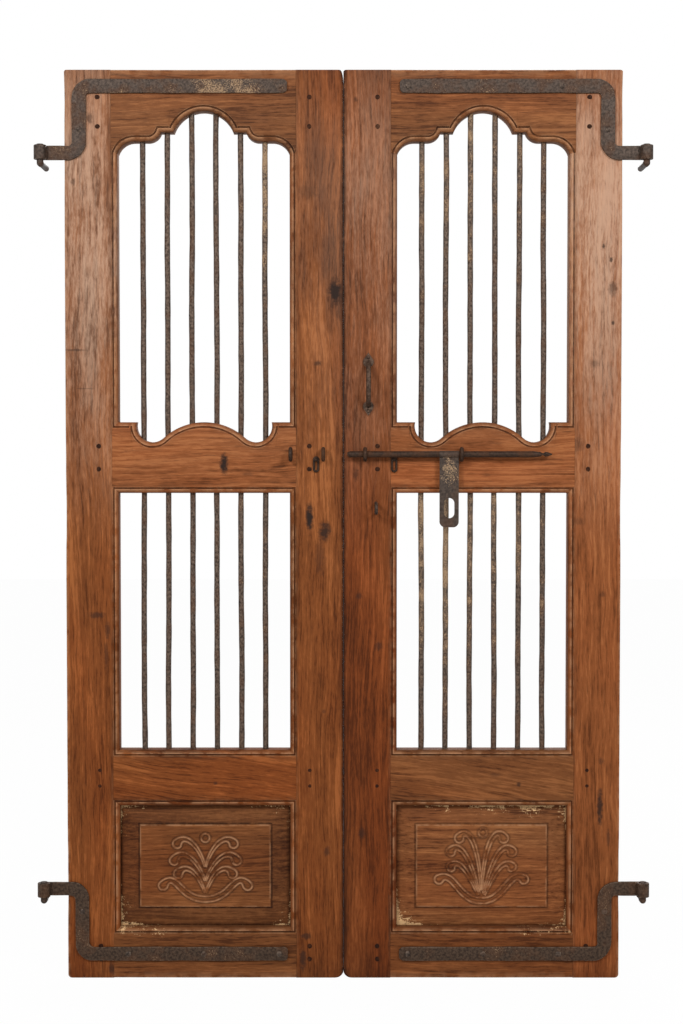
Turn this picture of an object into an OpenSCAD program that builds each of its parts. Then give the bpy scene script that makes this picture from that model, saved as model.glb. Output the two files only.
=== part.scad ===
// Carved double-leaf temple door: two joined timber leaves with iron bars,
// a cusped arch, a serpentine middle rail, a carved panel, crank strap hinges on pintles and a slide bolt.
// +X runs to the right, the front faces -Y, +Z is up and z = 0 is the foot of the leaves.

/* [Leaves] */
// Width of one leaf
leaf_w = 578; // [520:1:640]
// Height of the leaves
leaf_h = 1900; // [1800:1:2000]
// Thickness of the stiles and rails
leaf_t = 40; // [36:1:50]
// Gap between the two leaves behind the lips of their meeting edges
leaf_gap = 4; // [4:0.5:8]
// Gap between the lips at the front
lip_gap = 0.8; // [0.8:0.1:2]
// Width of a stile, moulding included
stile_w = 110; // [100:1:125]

/* [Rails] */
// Height of the bottom rail
bottom_rail_h = 107; // [95:1:120]
// Height of the carved panel's opening
panel_h = 257; // [240:1:280]
// Height of the lock rail, above the panel
lock_rail_h = 118; // [100:1:130]
// Height of the lower barred opening
lower_open_h = 540; // [500:1:560]
// Height of the middle rail at its shoulders
middle_rail_h = 148; // [140:1:165]
// Height of the top rail, down to the springing of the arch
top_rail_h = 173; // [165:1:190]
// Length of the tenons
tenon_l = 68; // [50:1:75]
// Thickness of the tenons
tenon_t = 13; // [10:0.5:15]
// Diameter of the pegs through the tenons
peg_d = 10; // [8:0.5:12]

/* [Moulding] */
// Width of the moulding on the edges of the openings
mould_w = 12; // [10:0.5:14]
// Radius of the moulding's round
ovolo_r = 8; // [6:0.5:8]
// Depth of the quirk beside the round
quirk_h = 3.2; // [2:0.1:4]

/* [Arch] */
// Rise of the arch above its springing
arch_rise = 89; // [80:1:95]
// Height of the steps beside the main arc
arch_step_h = 45; // [40:1:50]
// Half width of the main arc
arch_half_w = 62; // [56:1:70]
// Half width over the two steps
arch_step_w = 89; // [84:1:95]
// Height of the side lobes
lobe_h = 26; // [22:1:30]

/* [Serpentine] */
// Depth of the hollows in the middle rail's top edge
hollow_h = 42; // [34:1:48]
// Distance of a hollow's centre from the rail's middle
hollow_x = 108; // [100:1:112]
// Radius of a hollow
hollow_r = 34; // [30:1:36]

/* [Bars] */
// Number of bars in each opening
bar_count = 6; // [4:1:7]
// Diameter of a bar
bar_d = 11; // [8:0.5:14]
// Spacing of the bars
bar_pitch = 51; // [44:1:54]
// Depth of a bar's socket in a straight edge
bar_seat = 15; // [10:1:20]

/* [Panel] */
// Width of the bevel around the panel's raised field
bevel_w = 41; // [34:1:46]
// Depth of the panel in its grooves
groove_l = 9; // [6:0.5:9]
// Thickness of the panel's edge
panel_edge_t = 10; // [8:0.5:12]
// Height of the raised field over the panel's edge
field_h = 11; // [8:0.5:13]
// Height of a carved ridge
ridge_h = 2.2; // [1:0.1:3]
// Width of a carved ridge
ridge_w = 4.4; // [3:0.1:5]

/* [Strap hinges] */
// Width of the strap
strap_w = 30; // [26:1:34]
// Thickness of the strap
strap_t = 6; // [5:0.5:8]
// Distance from the leaf's edge in to the middle of the upright part
crank_x = 31; // [26:1:36]
// Height from the eye to the long arm
crank_h = 138; // [125:1:145]
// Distance from the leaf's edge to the end of the long arm
strap_reach = 463; // [430:1:480]
// Distance of the upper long arm from the top of the leaf
upper_arm_z = 34; // [28:1:40]
// Distance of the lower long arm from the foot of the leaf
lower_arm_z = 52; // [40:1:60]
// Distance of the hinge axis from the leaf's edge
eye_out = 48; // [44:1:60]
// Diameter of the pintle's upright
pintle_d = 14; // [12:0.5:16]
// Diameter of the pintle's tang
tang_d = 12; // [10:0.5:12]
// Length of the tang behind its shoulder
tang_l = 70; // [50:1:90]

/* [Slide bolt] */
// Diameter of the bolt
bolt_d = 13; // [11:0.5:14]
// Height of the bolt above the foot of the leaves
bolt_z = 1103; // [1095:1:1105]
// Length of the bolt without its finial
bolt_l = 402; // [380:1:420]
// Diameter of the iron of a ring
ring_wire_d = 8; // [6:0.5:9]
// Distances of the left leaf's rings from the middle of the door
left_rings_x = [42, 110]; // [20:1:130]
// Distances of the right leaf's rings from the middle of the door
right_rings_x = [45, 246]; // [30:1:260]
// Width of the hasp
hasp_w = 40; // [34:1:44]
// Length of the hasp from the bolt's axis
hasp_l = 152; // [140:1:165]
// Thickness of the hasp
hasp_t = 4; // [3:0.5:5]
// Width of the hasp's slot
slot_w = 22; // [16:1:26]
// Height of the hasp's slot
slot_h = 42; // [36:1:48]
// Distance of the lock staple from the middle of the door
staple_x = 68; // [60:1:76]
// Distance of the lock staple below the bolt
staple_drop = 112; // [100:1:116]
// Diameter of the iron of the lock staple
staple_wire_d = 6.4; // [5:0.2:7]
// Distance between the middles of the staple's legs
staple_span = 20; // [16:1:24]

/* [Handle] */
// Distance of the handle from the middle of the door
handle_x = 52; // [44:1:60]
// Height of the handle's middle
handle_z = 1249; // [1200:1:1300]
// Distance between the feet of the bow
handle_span = 92; // [80:1:110]
// Height of the bow over the leaf
handle_out = 34; // [28:1:40]
// Diameter of the bow
handle_d = 10; // [8:0.5:12]

/* [Hidden] */
$fn = 48;

LEFT = -1;
RIGHT = 1;
timber = "#6f4226";
dark_timber = "#5a3420";
iron = "#3b332d";
brown_iron = "#463529";

// Clearances
joint_play = 0.2;
hole_play = 0.1;
turn_play = 0.3;
pass_play = 1;
stop_play = 2;

// Levels of the rails
panel_z = bottom_rail_h;
lock_z = panel_z + panel_h;
lower_z = lock_z + lock_rail_h;
middle_z = lower_z + lower_open_h;
upper_z = middle_z + middle_rail_h;
spring_z = leaf_h - top_rail_h;
front_y = -leaf_t / 2;
back_y = leaf_t / 2;
mid_x = leaf_w / 2;
half_open = mid_x - stile_w;
mould_margin = 1;
shoulder_d = mould_w + mould_margin;
shoulder_x = stile_w - shoulder_d;
through = leaf_t + 2;

// Height range of each rail's tenon
tenon_inset = 26;
tenon_root = 5;
tenons = [
    [tenon_inset, bottom_rail_h - tenon_inset],
    [lock_z + tenon_inset, lower_z - tenon_inset],
    [middle_z + tenon_inset, upper_z - tenon_inset],
    [spring_z + tenon_inset, leaf_h - tenon_inset]
];
peg_shares = [0.25, 0.75];
peg_in = 28;
peg_x = shoulder_x - peg_in;

// Hinge and hardware places
eye_r = pintle_d / 2 + turn_play;
eye_y = front_y - strap_t - eye_r;
upper_eye_z = leaf_h - upper_arm_z - crank_h;
lower_eye_z = lower_arm_z + crank_h;
bend_in_r = 8;
ring_r = bolt_d / 2 + pass_play + ring_wire_d / 2;
ring_gap = 0.5;
bolt_y = front_y - ring_r - ring_wire_d / 2 - ring_gap;
hasp_rest_x = right_rings_x[1] - ring_wire_d / 2 - stop_play - hasp_w / 2;
hasp_on_bolt = 212;
bolt_tip_x = hasp_rest_x - hasp_on_bolt;
neck_d = bolt_d - 4;
hasp_eye_r = neck_d / 2 + turn_play;
hasp_eye_t = 2.4;
staple_z = bolt_z - staple_drop;

// The motif of each panel: frond roots, two guide points and heads, in pairs mirrored about the stem
left_fronds = [
    [[-3, 60], [-8, 100], [-34, 130], [-62, 106]],
    [[-3, 34], [-14, 82], [-46, 100], [-70, 70]],
    [[-3, 0], [-16, 44], [-40, 66], [-61, 40]]
];
right_fronds = [
    [[-3, 50], [-4, 100], [-16, 150], [-43, 128]],
    [[-3, 18], [-10, 80], [-28, 126], [-60, 98]],
    [[-3, 2], [-20, 50], [-36, 94], [-62, 68]]
];
left_boat = [[0, -14], [-58, -14], [-58, 48], [-92, 18]];
right_boat = [[0, -10], [-50, -10], [-54, 60], [-90, 38]];
left_bud = [0, 118];
right_bud = [4, 132];
bud_r = 9;
frond_root_w = 5.4;
frond_head_w = 15;
boat_w = 12;
motif_drop = 57;

// Plane geometry
function unit(v) = v / norm(v);
function left_of(v) = [-v[1], v[0]];
function flip_x(p) = [-p[0], p[1]];
function reversed(list) = [for (i = [len(list) - 1:-1:0]) list[i]];
function arc(c, r, from, to, n) =
    [for (i = [0:n]) let (a = from + (to - from) * i / n) c + r * [cos(a), sin(a)]];
function cubic(p, t) =
    pow(1 - t, 3) * p[0] + 3 * t * pow(1 - t, 2) * p[1] + 3 * t * t * (1 - t) * p[2] + pow(t, 3) * p[3];
function cubic_dir(p, t) =
    unit(pow(1 - t, 2) * (p[1] - p[0]) + 2 * t * (1 - t) * (p[2] - p[1]) + t * t * (p[3] - p[2]));

// A path moved by d into the wood, which is above it (side 1) or below it (side -1).
// Both ends are mitred against the upright edges of the stiles.
function inset_path(p, d, side) = [
    for (i = [0:len(p) - 1])
        let (
            before = i == 0 ? [0, side] : unit(p[i] - p[i - 1]),
            after = i == len(p) - 1 ? [0, -side] : unit(p[i + 1] - p[i]),
            n1 = side * left_of(before),
            n2 = side * left_of(after)
        )
        p[i] + d * (n1 + n2) / (1 + n1 * n2)
];
function moulded_edge(p, d, side) =
    let (shoulder = inset_path(p, shoulder_d, side))
    concat([shoulder[0]], inset_path(p, d, side), [shoulder[len(p) - 1]]);
function plain_edge(z) = [[shoulder_x, z], [leaf_w - shoulder_x, z]];
function straight_edge(z) = [[stile_w, z], [leaf_w - stile_w, z]];

// Section of the moulding: distance from the opening's edge and depth under the face
fillet_h = 1.5;
ovolo_steps = 6;
moulding = concat(
    [for (a = [0:90 / ovolo_steps:90]) [ovolo_in(a), ovolo_depth(a)]],
    [[ovolo_r, quirk_h], [mould_w, quirk_h], [mould_w, 0]]
);

// Half of the arch, from the springing to the crown, about the middle of the opening
lobe_run = 35;
lobe_r = (lobe_run * lobe_run + lobe_h * lobe_h) / (2 * lobe_h);
rise_run = 27;
rise_h = arch_step_h - lobe_h;
rise_r = (rise_run * rise_run + rise_h * rise_h) / (2 * rise_h);
crown_h = arch_rise - arch_step_h;
crown_r = (arch_half_w * arch_half_w + crown_h * crown_h) / (2 * crown_h);
crown_a = asin(arch_half_w / crown_r);
lobe_end_x = lobe_run - half_open;
rise_start_x = -arch_step_w - rise_run;
half_arch = concat(
    arc([lobe_end_x, lobe_h - lobe_r], lobe_r, 90 + asin(lobe_run / lobe_r), 90, 6),
    arc([rise_start_x, lobe_h + rise_r], rise_r, -90, -90 + asin(rise_run / rise_r), 6),
    arc([0, arch_rise - crown_r], crown_r, 90 + crown_a, 90, 9)
);
arch_path = [
    for (p = concat(half_arch, [for (i = [len(half_arch) - 2:-1:0]) flip_x(half_arch[i])]))
        [mid_x + p[0], spring_z + p[1]]
];

// Half of the serpentine: shoulder, hollow and central swell, whose radius makes it run on smoothly
hollow_c = [-hollow_x, hollow_r - hollow_h];
swell_r = (hollow_x * hollow_x + hollow_c[1] * hollow_c[1] - hollow_r * hollow_r)
    / (2 * (hollow_r - hollow_c[1]));
swell_a = atan2(hollow_x, swell_r + hollow_c[1]);
hollow_start_a = 180 - asin(-hollow_c[1] / hollow_r);
half_serpentine = concat(
    [[-half_open, 0]],
    arc(hollow_c, hollow_r, hollow_start_a, 270 + swell_a, 9),
    arc([0, -swell_r], swell_r, 90 + swell_a * 0.85, 90, 7)
);
serpentine_path = [
    for (p = concat(half_serpentine, [for (i = [len(half_serpentine) - 2:-1:0]) flip_x(half_serpentine[i])]))
        [mid_x + p[0], upper_z + p[1]]
];

// A closed solid through rings of as many points, from the back one to the front one
module loft(rings) {
    n = len(rings[0]);
    last = len(rings) - 1;
    walls = [
        for (k = [0:last - 1], i = [0:n - 1], half = [0, 1])
            let (a = k * n + i, b = k * n + (i + 1) % n, c = b + n, d = a + n)
            half == 0 ? [a, d, c] : [a, c, b]
    ];
    caps = [[for (i = [0:n - 1]) i], [for (i = [n - 1:-1:0]) last * n + i]];
    polyhedron([for (r = rings, p = r) p], concat(walls, caps));
}

// Places a leaf's own drawing, with x from its hinge edge to its meeting edge
module on_leaf(side) {
    mirror([side == RIGHT ? 1 : 0, 0, 0]) translate([-leaf_gap / 2 - leaf_w, 0, 0]) children();
}

// A hole straight through a leaf, or to a depth from its front
module leaf_hole(x, z, d, depth = through) {
    translate([x, front_y - 1, z]) rotate([-90, 0, 0]) cylinder(h = depth + 1, d = d);
}

module peg_holes() {
    for (t = tenons, s = peg_shares, x = [peg_x, leaf_w - peg_x]) {
        leaf_hole(x, t[0] + s * (t[1] - t[0]), peg_d + 2 * hole_play);
    }
}

// Leaf-side places of the bolt rings' shanks
function ring_places(side) =
    [for (x = side == LEFT ? left_rings_x : right_rings_x) leaf_gap / 2 + leaf_w - x];

module ring_holes(side) {
    for (x = ring_places(side)) {
        leaf_hole(x, bolt_z, ring_wire_d + 2 * hole_play);
    }
}

// Holes for all the ironwork round the bolt and the handle
module bolt_holes(side) {
    ring_holes(side);
    link_holes(side);
    if (side == RIGHT) {
        handle_holes();
        lock_staple_holes();
    }
}

// Places of the strap nails, from the eye, with the arm above
nail_shank_d = 5;
nail_depth = 26;
nail_head_h = 2;
nail_head_d = 13;
nail_end = 18;
strap_nails_at = [
    [eye_out + crank_x, crank_h * 0.35],
    [eye_out + stile_w + nail_end, crank_h],
    [eye_out + (stile_w + strap_reach) / 2, crank_h],
    [eye_out + strap_reach - nail_end, crank_h]
];
strap_nail_places = [
    for (p = strap_nails_at) [p[0] - eye_out, upper_eye_z + p[1]],
    for (p = strap_nails_at) [p[0] - eye_out, lower_eye_z - p[1]]
];

module strap_nail_holes() {
    for (p = strap_nail_places) {
        leaf_hole(p[0], p[1], nail_shank_d + 2 * hole_play, nail_depth + 1);
    }
}

// Stiles
strip_section = concat(
    [[shoulder_x, back_y], [stile_w, back_y]],
    [for (m = moulding) [stile_w - m[0], front_y + m[1]]],
    [[shoulder_x, front_y]]
);

// The moulded strip beside one opening, mitred to the rails below and above
module stile_strip(low, high, low_rise, high_rise) {
    intersection() {
        translate([0, 0, low - shoulder_d]) linear_extrude(high - low + 2 * shoulder_d) polygon(strip_section);
        rotate([90, 0, 0]) linear_extrude(2 * leaf_t, center = true)
            polygon([[stile_w, low], [stile_w, high], [shoulder_x, high + high_rise], [shoulder_x, low - low_rise]]);
    }
}

module stile_blank() {
    arch_rise_end = inset_path(arch_path, shoulder_d, 1)[0][1] - spring_z;
    translate([0, front_y, 0]) cube([shoulder_x, leaf_t, leaf_h]);
    stile_strip(panel_z, lock_z, shoulder_d, shoulder_d);
    stile_strip(lower_z, middle_z, shoulder_d, shoulder_d);
    stile_strip(upper_z, spring_z, shoulder_d, arch_rise_end);
}

module stile() {
    difference() {
        stile_blank();
        for (t = tenons) {
            translate([shoulder_x - tenon_l - joint_play, -tenon_t / 2 - joint_play, t[0] - joint_play])
                cube([tenon_l + 2 * joint_play, tenon_t + 2 * joint_play, t[1] - t[0] + 2 * joint_play]);
        }
        translate([stile_w - groove_l - joint_play, -joint_play, panel_z - shoulder_d])
            cube([groove_l + 1, panel_edge_t + 2 * joint_play, panel_h + 2 * shoulder_d]);
        peg_holes();
    }
}

module hinge_stile(side) {
    color(timber) on_leaf(side) difference() {
        stile();
        strap_nail_holes();
    }
}

// The lip at the front of the meeting edge, bevelled away behind so that the leaves swing clear of each other
lip_w = (leaf_gap - lip_gap) / 2;
lip_t = 5;
lip_slope = 8;
lip_root = 1;
module meeting_lip() {
    linear_extrude(leaf_h) polygon([
        [leaf_w - lip_root, front_y], [leaf_w + lip_w, front_y], [leaf_w + lip_w, front_y + lip_t],
        [leaf_w, front_y + lip_t + lip_slope], [leaf_w - lip_root, front_y + lip_t + lip_slope]
    ]);
}

module meeting_stile(side) {
    color(timber) on_leaf(side) difference() {
        union() {
            translate([leaf_w, 0, 0]) mirror([1, 0, 0]) stile();
            meeting_lip();
        }
        strap_nail_holes();
        bolt_holes(side);
    }
}

// Rails: slabs whose outlines step back along the moulding's round, with quirks cut in, the face and two tenons
function ovolo_in(a) = ovolo_r * (1 - cos(a));
function ovolo_depth(a) = ovolo_r - (ovolo_r - fillet_h) * sin(a);

// A flat slab of a leaf between two depths under its front face
module slab(deep, shallow) {
    translate([0, front_y + deep, 0]) rotate([90, 0, 0]) linear_extrude(deep - shallow) children();
}

// A path run on a little past both its ends
function past_ends(p) =
    let (last = len(p) - 1)
    concat([p[0] + unit(p[0] - p[1])], p, [p[last] + unit(p[last] - p[last - 1])]);

module quirk(path, side) {
    outer = past_ends(inset_path(path, ovolo_r, side));
    inner = past_ends(inset_path(path, mould_w, side));
    slab(quirk_h, -1) polygon(concat(outer, reversed(inner)));
}

module rail(outline, tenon) {
    step_a = 90 / ovolo_steps;
    difference() {
        union() {
            slab(leaf_t, ovolo_r) polygon(outline(0));
            for (a = [0:step_a:90 - step_a]) {
                slab(leaf_t, ovolo_depth(a + step_a)) polygon(outline(ovolo_in(a + step_a / 2)));
            }
        }
        children();
    }
    slab(leaf_t, 0) polygon(outline(mould_w));
    for (x = [shoulder_x - tenon_l, leaf_w - shoulder_x - tenon_root]) {
        translate([x, -tenon_t / 2, tenon[0]]) cube([tenon_l + tenon_root, tenon_t, tenon[1] - tenon[0]]);
    }
}

function bar_x(i) = mid_x + (i - (bar_count - 1) / 2) * bar_pitch;
upper_bar_top = spring_z + arch_rise + bar_seat;
upper_bar_foot = upper_z - hollow_h - bar_seat;
lower_bar_foot = lower_z - bar_seat;
lower_bar_top = middle_z + bar_seat;

module bars(foot, top, d) {
    for (i = [0:bar_count - 1]) {
        translate([bar_x(i), 0, foot]) cylinder(h = top - foot, d = d);
    }
}

// A groove for the panel in the edge of a rail, from its lower side and open to the panel
module panel_groove(z) {
    translate([shoulder_x - 1, -joint_play, z])
        cube([leaf_w - 2 * shoulder_x + 2, panel_edge_t + 2 * joint_play, groove_l + joint_play + 1]);
}

module top_rail(side) {
    color(timber) on_leaf(side) difference() {
        rail(function (d) concat(moulded_edge(arch_path, d, 1), reversed(plain_edge(leaf_h))), tenons[3])
            quirk(arch_path, 1);
        bars(upper_bar_foot, upper_bar_top, bar_d + 2 * hole_play);
        peg_holes();
        strap_nail_holes();
    }
}

module middle_rail(side) {
    color(timber) on_leaf(side) difference() {
        rail(function (d) concat(
            moulded_edge(straight_edge(middle_z), d, 1),
            reversed(moulded_edge(serpentine_path, d, -1))
        ), tenons[2]) {
            quirk(straight_edge(middle_z), 1);
            quirk(serpentine_path, -1);
        }
        bars(upper_bar_foot, upper_bar_top, bar_d + 2 * hole_play);
        bars(lower_bar_foot, lower_bar_top, bar_d + 2 * hole_play);
        peg_holes();
        bolt_holes(side);
    }
}

module lock_rail(side) {
    color(timber) on_leaf(side) difference() {
        rail(function (d) concat(
            moulded_edge(straight_edge(lock_z), d, 1),
            reversed(moulded_edge(straight_edge(lower_z), d, -1))
        ), tenons[1]) {
            quirk(straight_edge(lock_z), 1);
            quirk(straight_edge(lower_z), -1);
        }
        bars(lower_bar_foot, lower_bar_top, bar_d + 2 * hole_play);
        panel_groove(lock_z - 1);
        peg_holes();
    }
}

module bottom_rail(side) {
    color(timber) on_leaf(side) difference() {
        rail(function (d) concat(plain_edge(0), reversed(moulded_edge(straight_edge(panel_z), d, -1))), tenons[0])
            quirk(straight_edge(panel_z), -1);
        panel_groove(panel_z - groove_l - joint_play);
        peg_holes();
        strap_nail_holes();
    }
}

module upper_bars(side) {
    color(iron) on_leaf(side) bars(upper_bar_foot, upper_bar_top, bar_d);
}

module lower_bars(side) {
    color(iron) on_leaf(side) bars(lower_bar_foot, lower_bar_top, bar_d);
}

module tenon_pegs(side) {
    color(dark_timber) on_leaf(side)
        for (t = tenons, s = peg_shares, x = [peg_x, leaf_w - peg_x]) {
            translate([x, front_y, t[0] + s * (t[1] - t[0])]) rotate([-90, 0, 0]) cylinder(h = leaf_t, d = peg_d);
        }
}

// Carved panel
// A frond's outline: out along one side from its root, round its head and back along the other
frond_steps = 10;
function frond_side(p, root_w, side) = [
    for (i = [0:frond_steps])
        let (t = i / frond_steps, w = root_w + (frond_head_w - root_w) * t * t)
        cubic(p, t) + side * w / 2 * left_of(cubic_dir(p, t))
];
function frond_head(p) =
    let (a = atan2(cubic_dir(p, 1)[1], cubic_dir(p, 1)[0]))
    [for (b = [-60:30:60]) p[3] + frond_head_w / 2 * [cos(a + b), sin(a + b)]];
function frond_outline(p, root_w) =
    concat(frond_side(p, root_w, -1), frond_head(p), reversed(frond_side(p, root_w, 1)));

// The ribbon under the fronds, mirrored about the stem
function boat_outline(p) =
    let (half = frond_outline(p, boat_w), n = len(half))
    concat(half, [for (i = [n - 2:-1:1]) flip_x(half[i])]);

// Cross-section of a carved ridge: distance from its path and height over the field
ridge_root = 0.6;
ridge_section = [
    [-ridge_w / 2, -ridge_root], [-ridge_w / 4, ridge_h], [ridge_w / 4, ridge_h], [ridge_w / 2, -ridge_root]
];

// A ridge along a path on the field; a closed path joins its end to its start
module ridge(path, y, closed = false) {
    n = len(path);
    m = len(ridge_section);
    rings = [
        for (i = [0:n - 1])
            let (
                before = path[closed ? (i + n - 1) % n : max(i - 1, 0)],
                after = path[closed ? (i + 1) % n : min(i + 1, n - 1)],
                across = left_of(unit(after - before))
            )
            [for (s = ridge_section) let (q = path[i] + s[0] * across) [q[0], y - s[1], q[1]]]
    ];
    walls = [
        for (k = [0:(closed ? n - 1 : n - 2)], i = [0:m - 1], half = [0, 1])
            let (a = k * m + i, b = k * m + (i + 1) % m, c = ((k + 1) % n) * m + (i + 1) % m, d = ((k + 1) % n) * m + i)
            half == 0 ? [a, c, d] : [a, b, c]
    ];
    caps = closed ? [] : [[for (i = [m - 1:-1:0]) i], [for (i = [0:m - 1]) (n - 1) * m + i]];
    polyhedron([for (r = rings, p = r) p], concat(walls, caps));
}

module motif(fronds, boat, bud, y) {
    for (f = fronds) {
        outline = frond_outline(f, frond_root_w);
        ridge(outline, y);
        ridge(reversed([for (p = outline) flip_x(p)]), y);
    }
    ridge(boat_outline(boat), y, true);
    ridge([for (i = [0:15]) bud + bud_r * [cos(i * 22.5), -sin(i * 22.5)]], y, true);
}

// The fielded board: rectangles set in by growing margins, from the back to the field
step_h = 3.5;
bevel_start_h = 1;
module panel_board() {
    edge = groove_l - joint_play;
    margins = [
        [-edge, panel_edge_t], [-edge, 0], [1, 0], [1.01, -bevel_start_h],
        [bevel_w - 3, step_h - field_h], [bevel_w, step_h - field_h], [bevel_w + 2, -field_h]
    ];
    loft([
        for (m = margins)
            let (x0 = stile_w + m[0], x1 = leaf_w - stile_w - m[0], z0 = panel_z + m[0], z1 = lock_z - m[0])
            [[x0, m[1], z0], [x1, m[1], z0], [x1, m[1], z1], [x0, m[1], z1]]
    ]);
}

module carved_panel(side) {
    color(dark_timber) on_leaf(side) union() {
        panel_board();
        translate([mid_x, 0, (panel_z + lock_z) / 2 - motif_drop]) {
            if (side == LEFT) {
                motif(left_fronds, left_boat, left_bud, -field_h);
            } else {
                mirror([1, 0, 0]) motif(right_fronds, right_boat, right_bud, -field_h);
            }
        }
    }
}

// Strap hinges, drawn from the eye with the long arm above
module bend(a) {
    rotate(a) intersection() {
        difference() {
            circle(r = bend_in_r + strap_w);
            circle(r = bend_in_r);
        }
        square(bend_in_r + strap_w);
    }
}

module strap_outline() {
    post_x = eye_out + crank_x;
    lead = bend_in_r + strap_w / 2;
    end_r = 6;
    translate([0, -strap_w / 2]) square([post_x - lead, strap_w]);
    translate([post_x - lead, lead]) bend(-90);
    translate([post_x - strap_w / 2, lead]) square([strap_w, crank_h - 2 * lead]);
    translate([post_x + lead, crank_h - lead]) bend(90);
    translate([post_x + lead, crank_h - strap_w / 2])
        square([eye_out + strap_reach - end_r - post_x - lead, strap_w]);
    translate([eye_out + strap_reach - end_r, crank_h - strap_w / 2 + end_r])
        square([end_r, strap_w - 2 * end_r]);
    for (z = [end_r - strap_w / 2, strap_w / 2 - end_r]) {
        translate([eye_out + strap_reach - end_r, crank_h + z]) circle(r = end_r);
    }
}

// The eye is the strap's end rolled forward, short of meeting the strap again
module strap_eye() {
    roll = 292;
    translate([0, eye_y, -strap_w / 2]) rotate(90)
        rotate_extrude(angle = roll) translate([eye_r, 0]) square([strap_t, strap_w]);
}

module strap(side, z, up) {
    color(iron) on_leaf(side) translate([-eye_out, 0, z]) mirror([0, 0, up ? 0 : 1]) {
        difference() {
            translate([0, front_y, 0]) rotate([90, 0, 0]) linear_extrude(strap_t) strap_outline();
            for (p = strap_nails_at) {
                translate([p[0], front_y + 1, p[1]]) rotate([90, 0, 0])
                    cylinder(h = strap_t + 2, d = nail_shank_d + 2 * hole_play);
            }
        }
        strap_eye();
    }
}

module nail(shank_d, depth, head_d, head_h) {
    rotate([-90, 0, 0]) cylinder(h = depth, d = shank_d);
    rotate([90, 0, 0]) cylinder(h = head_h, d1 = head_d, d2 = head_d * 0.6);
}

module strap_nails(side) {
    color(iron) on_leaf(side)
        for (p = strap_nail_places) {
            translate([p[0], front_y - strap_t, p[1]]) nail(nail_shank_d, nail_depth + strap_t, nail_head_d, nail_head_h);
        }
}

// Pintles: an upright in the eye on a round tang that runs back
module pintle(side, z) {
    bend_z = -strap_w / 2 - joint_play - pintle_d / 2;
    over = 2;
    color(iron) on_leaf(side) translate([-eye_out, eye_y, z]) {
        translate([0, 0, bend_z]) cylinder(h = strap_w / 2 + over - bend_z, d = pintle_d);
        translate([0, 0, bend_z]) sphere(d = pintle_d);
        translate([0, 0, bend_z]) rotate([-90, 0, 0]) cylinder(h = front_y - eye_y, d = pintle_d);
        translate([0, front_y - eye_y, bend_z]) rotate([-90, 0, 0]) cylinder(h = tang_l, d = tang_d);
    }
}

// Bolt rings: a ring round the bolt on a shank that is riveted over behind
rivet_d = 14;
rivet_h = 3;
module bolt_rings(side) {
    color(brown_iron) on_leaf(side)
        for (x = ring_places(side)) {
            translate([x, bolt_y, bolt_z]) {
                rotate([0, 90, 0]) rotate_extrude() translate([ring_r, 0]) circle(d = ring_wire_d);
                translate([0, ring_r, 0]) rotate([-90, 0, 0]) cylinder(h = back_y - bolt_y - ring_r, d = ring_wire_d);
                translate([0, back_y - bolt_y, 0]) rotate([-90, 0, 0])
                    cylinder(h = rivet_h, d1 = rivet_d, d2 = rivet_d * 0.6);
            }
        }
}

// Drop links: the last link of a lost chain, hung on a nail beside the bolt
link_wire_d = 4.5;
link_w = 9;
link_h = 20;
link_drop = 11;
link_nail_d = 3.6;
link_nail_head_d = 8;
left_link_x = 57;
right_link_x = 106;
function link_x(side) = side == LEFT ? left_link_x : right_link_x;
function link_place(side) = [leaf_gap / 2 + leaf_w - link_x(side), bolt_z - link_drop];

module link_holes(side) {
    p = link_place(side);
    leaf_hole(p[0], p[1], link_nail_d + 2 * hole_play, nail_depth + 1);
}

module drop_link(side) {
    p = link_place(side);
    link_y = front_y - link_wire_d / 2 - hole_play;
    arc_r = link_w / 2;
    head_y = front_y - link_wire_d - 2 * hole_play;
    color(brown_iron) on_leaf(side) {
        translate([p[0], link_y, p[1]]) {
            for (s = [0, 1]) {
                translate([0, 0, -s * link_h]) rotate([90, s * 180, 0])
                    rotate_extrude(angle = 180) translate([arc_r, 0]) circle(d = link_wire_d);
            }
            for (x = [-arc_r, arc_r]) {
                translate([x, 0, -link_h]) cylinder(h = link_h, d = link_wire_d);
            }
        }
        translate([p[0], head_y, p[1]]) nail(link_nail_d, nail_depth - 2, link_nail_head_d, nail_head_h);
    }
}

// Lock staple: an upright loop that stands through the hasp's slot
staple_out = 25;
module lock_staple_holes() {
    for (s = [-1, 1]) {
        leaf_hole(leaf_gap / 2 + leaf_w - staple_x, staple_z + s * staple_span / 2, staple_wire_d + 2 * hole_play);
    }
}

module lock_staple() {
    color(iron) translate([staple_x, 0, staple_z]) {
        for (s = [-1, 1]) {
            translate([0, bolt_y - staple_out + staple_span / 2, s * staple_span / 2]) rotate([-90, 0, 0])
                cylinder(h = back_y + rivet_h - bolt_y + staple_out - staple_span / 2, d = staple_wire_d);
        }
        translate([0, bolt_y - staple_out + staple_span / 2, 0]) rotate([0, -90, 180])
            rotate_extrude(angle = 180) translate([staple_span / 2, 0]) circle(d = staple_wire_d);
    }
}

// Pull handle: a bow on two leaf-shaped feet
foot_r = 11;
foot_tip = 20;
foot_t = 4;
handle_nail_d = 4;
handle_nail_depth = 22;
handle_nail_out = 10;
bow_r = (handle_span * handle_span / 4 + handle_out * handle_out) / (2 * handle_out);
bow_a = asin(handle_span / 2 / bow_r);

module handle_holes() {
    for (s = [-1, 1]) {
        leaf_hole(leaf_gap / 2 + leaf_w - handle_x, handle_z + s * (handle_span / 2 + handle_nail_out),
            handle_nail_d + 2 * hole_play, handle_nail_depth + 1);
    }
}

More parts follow.
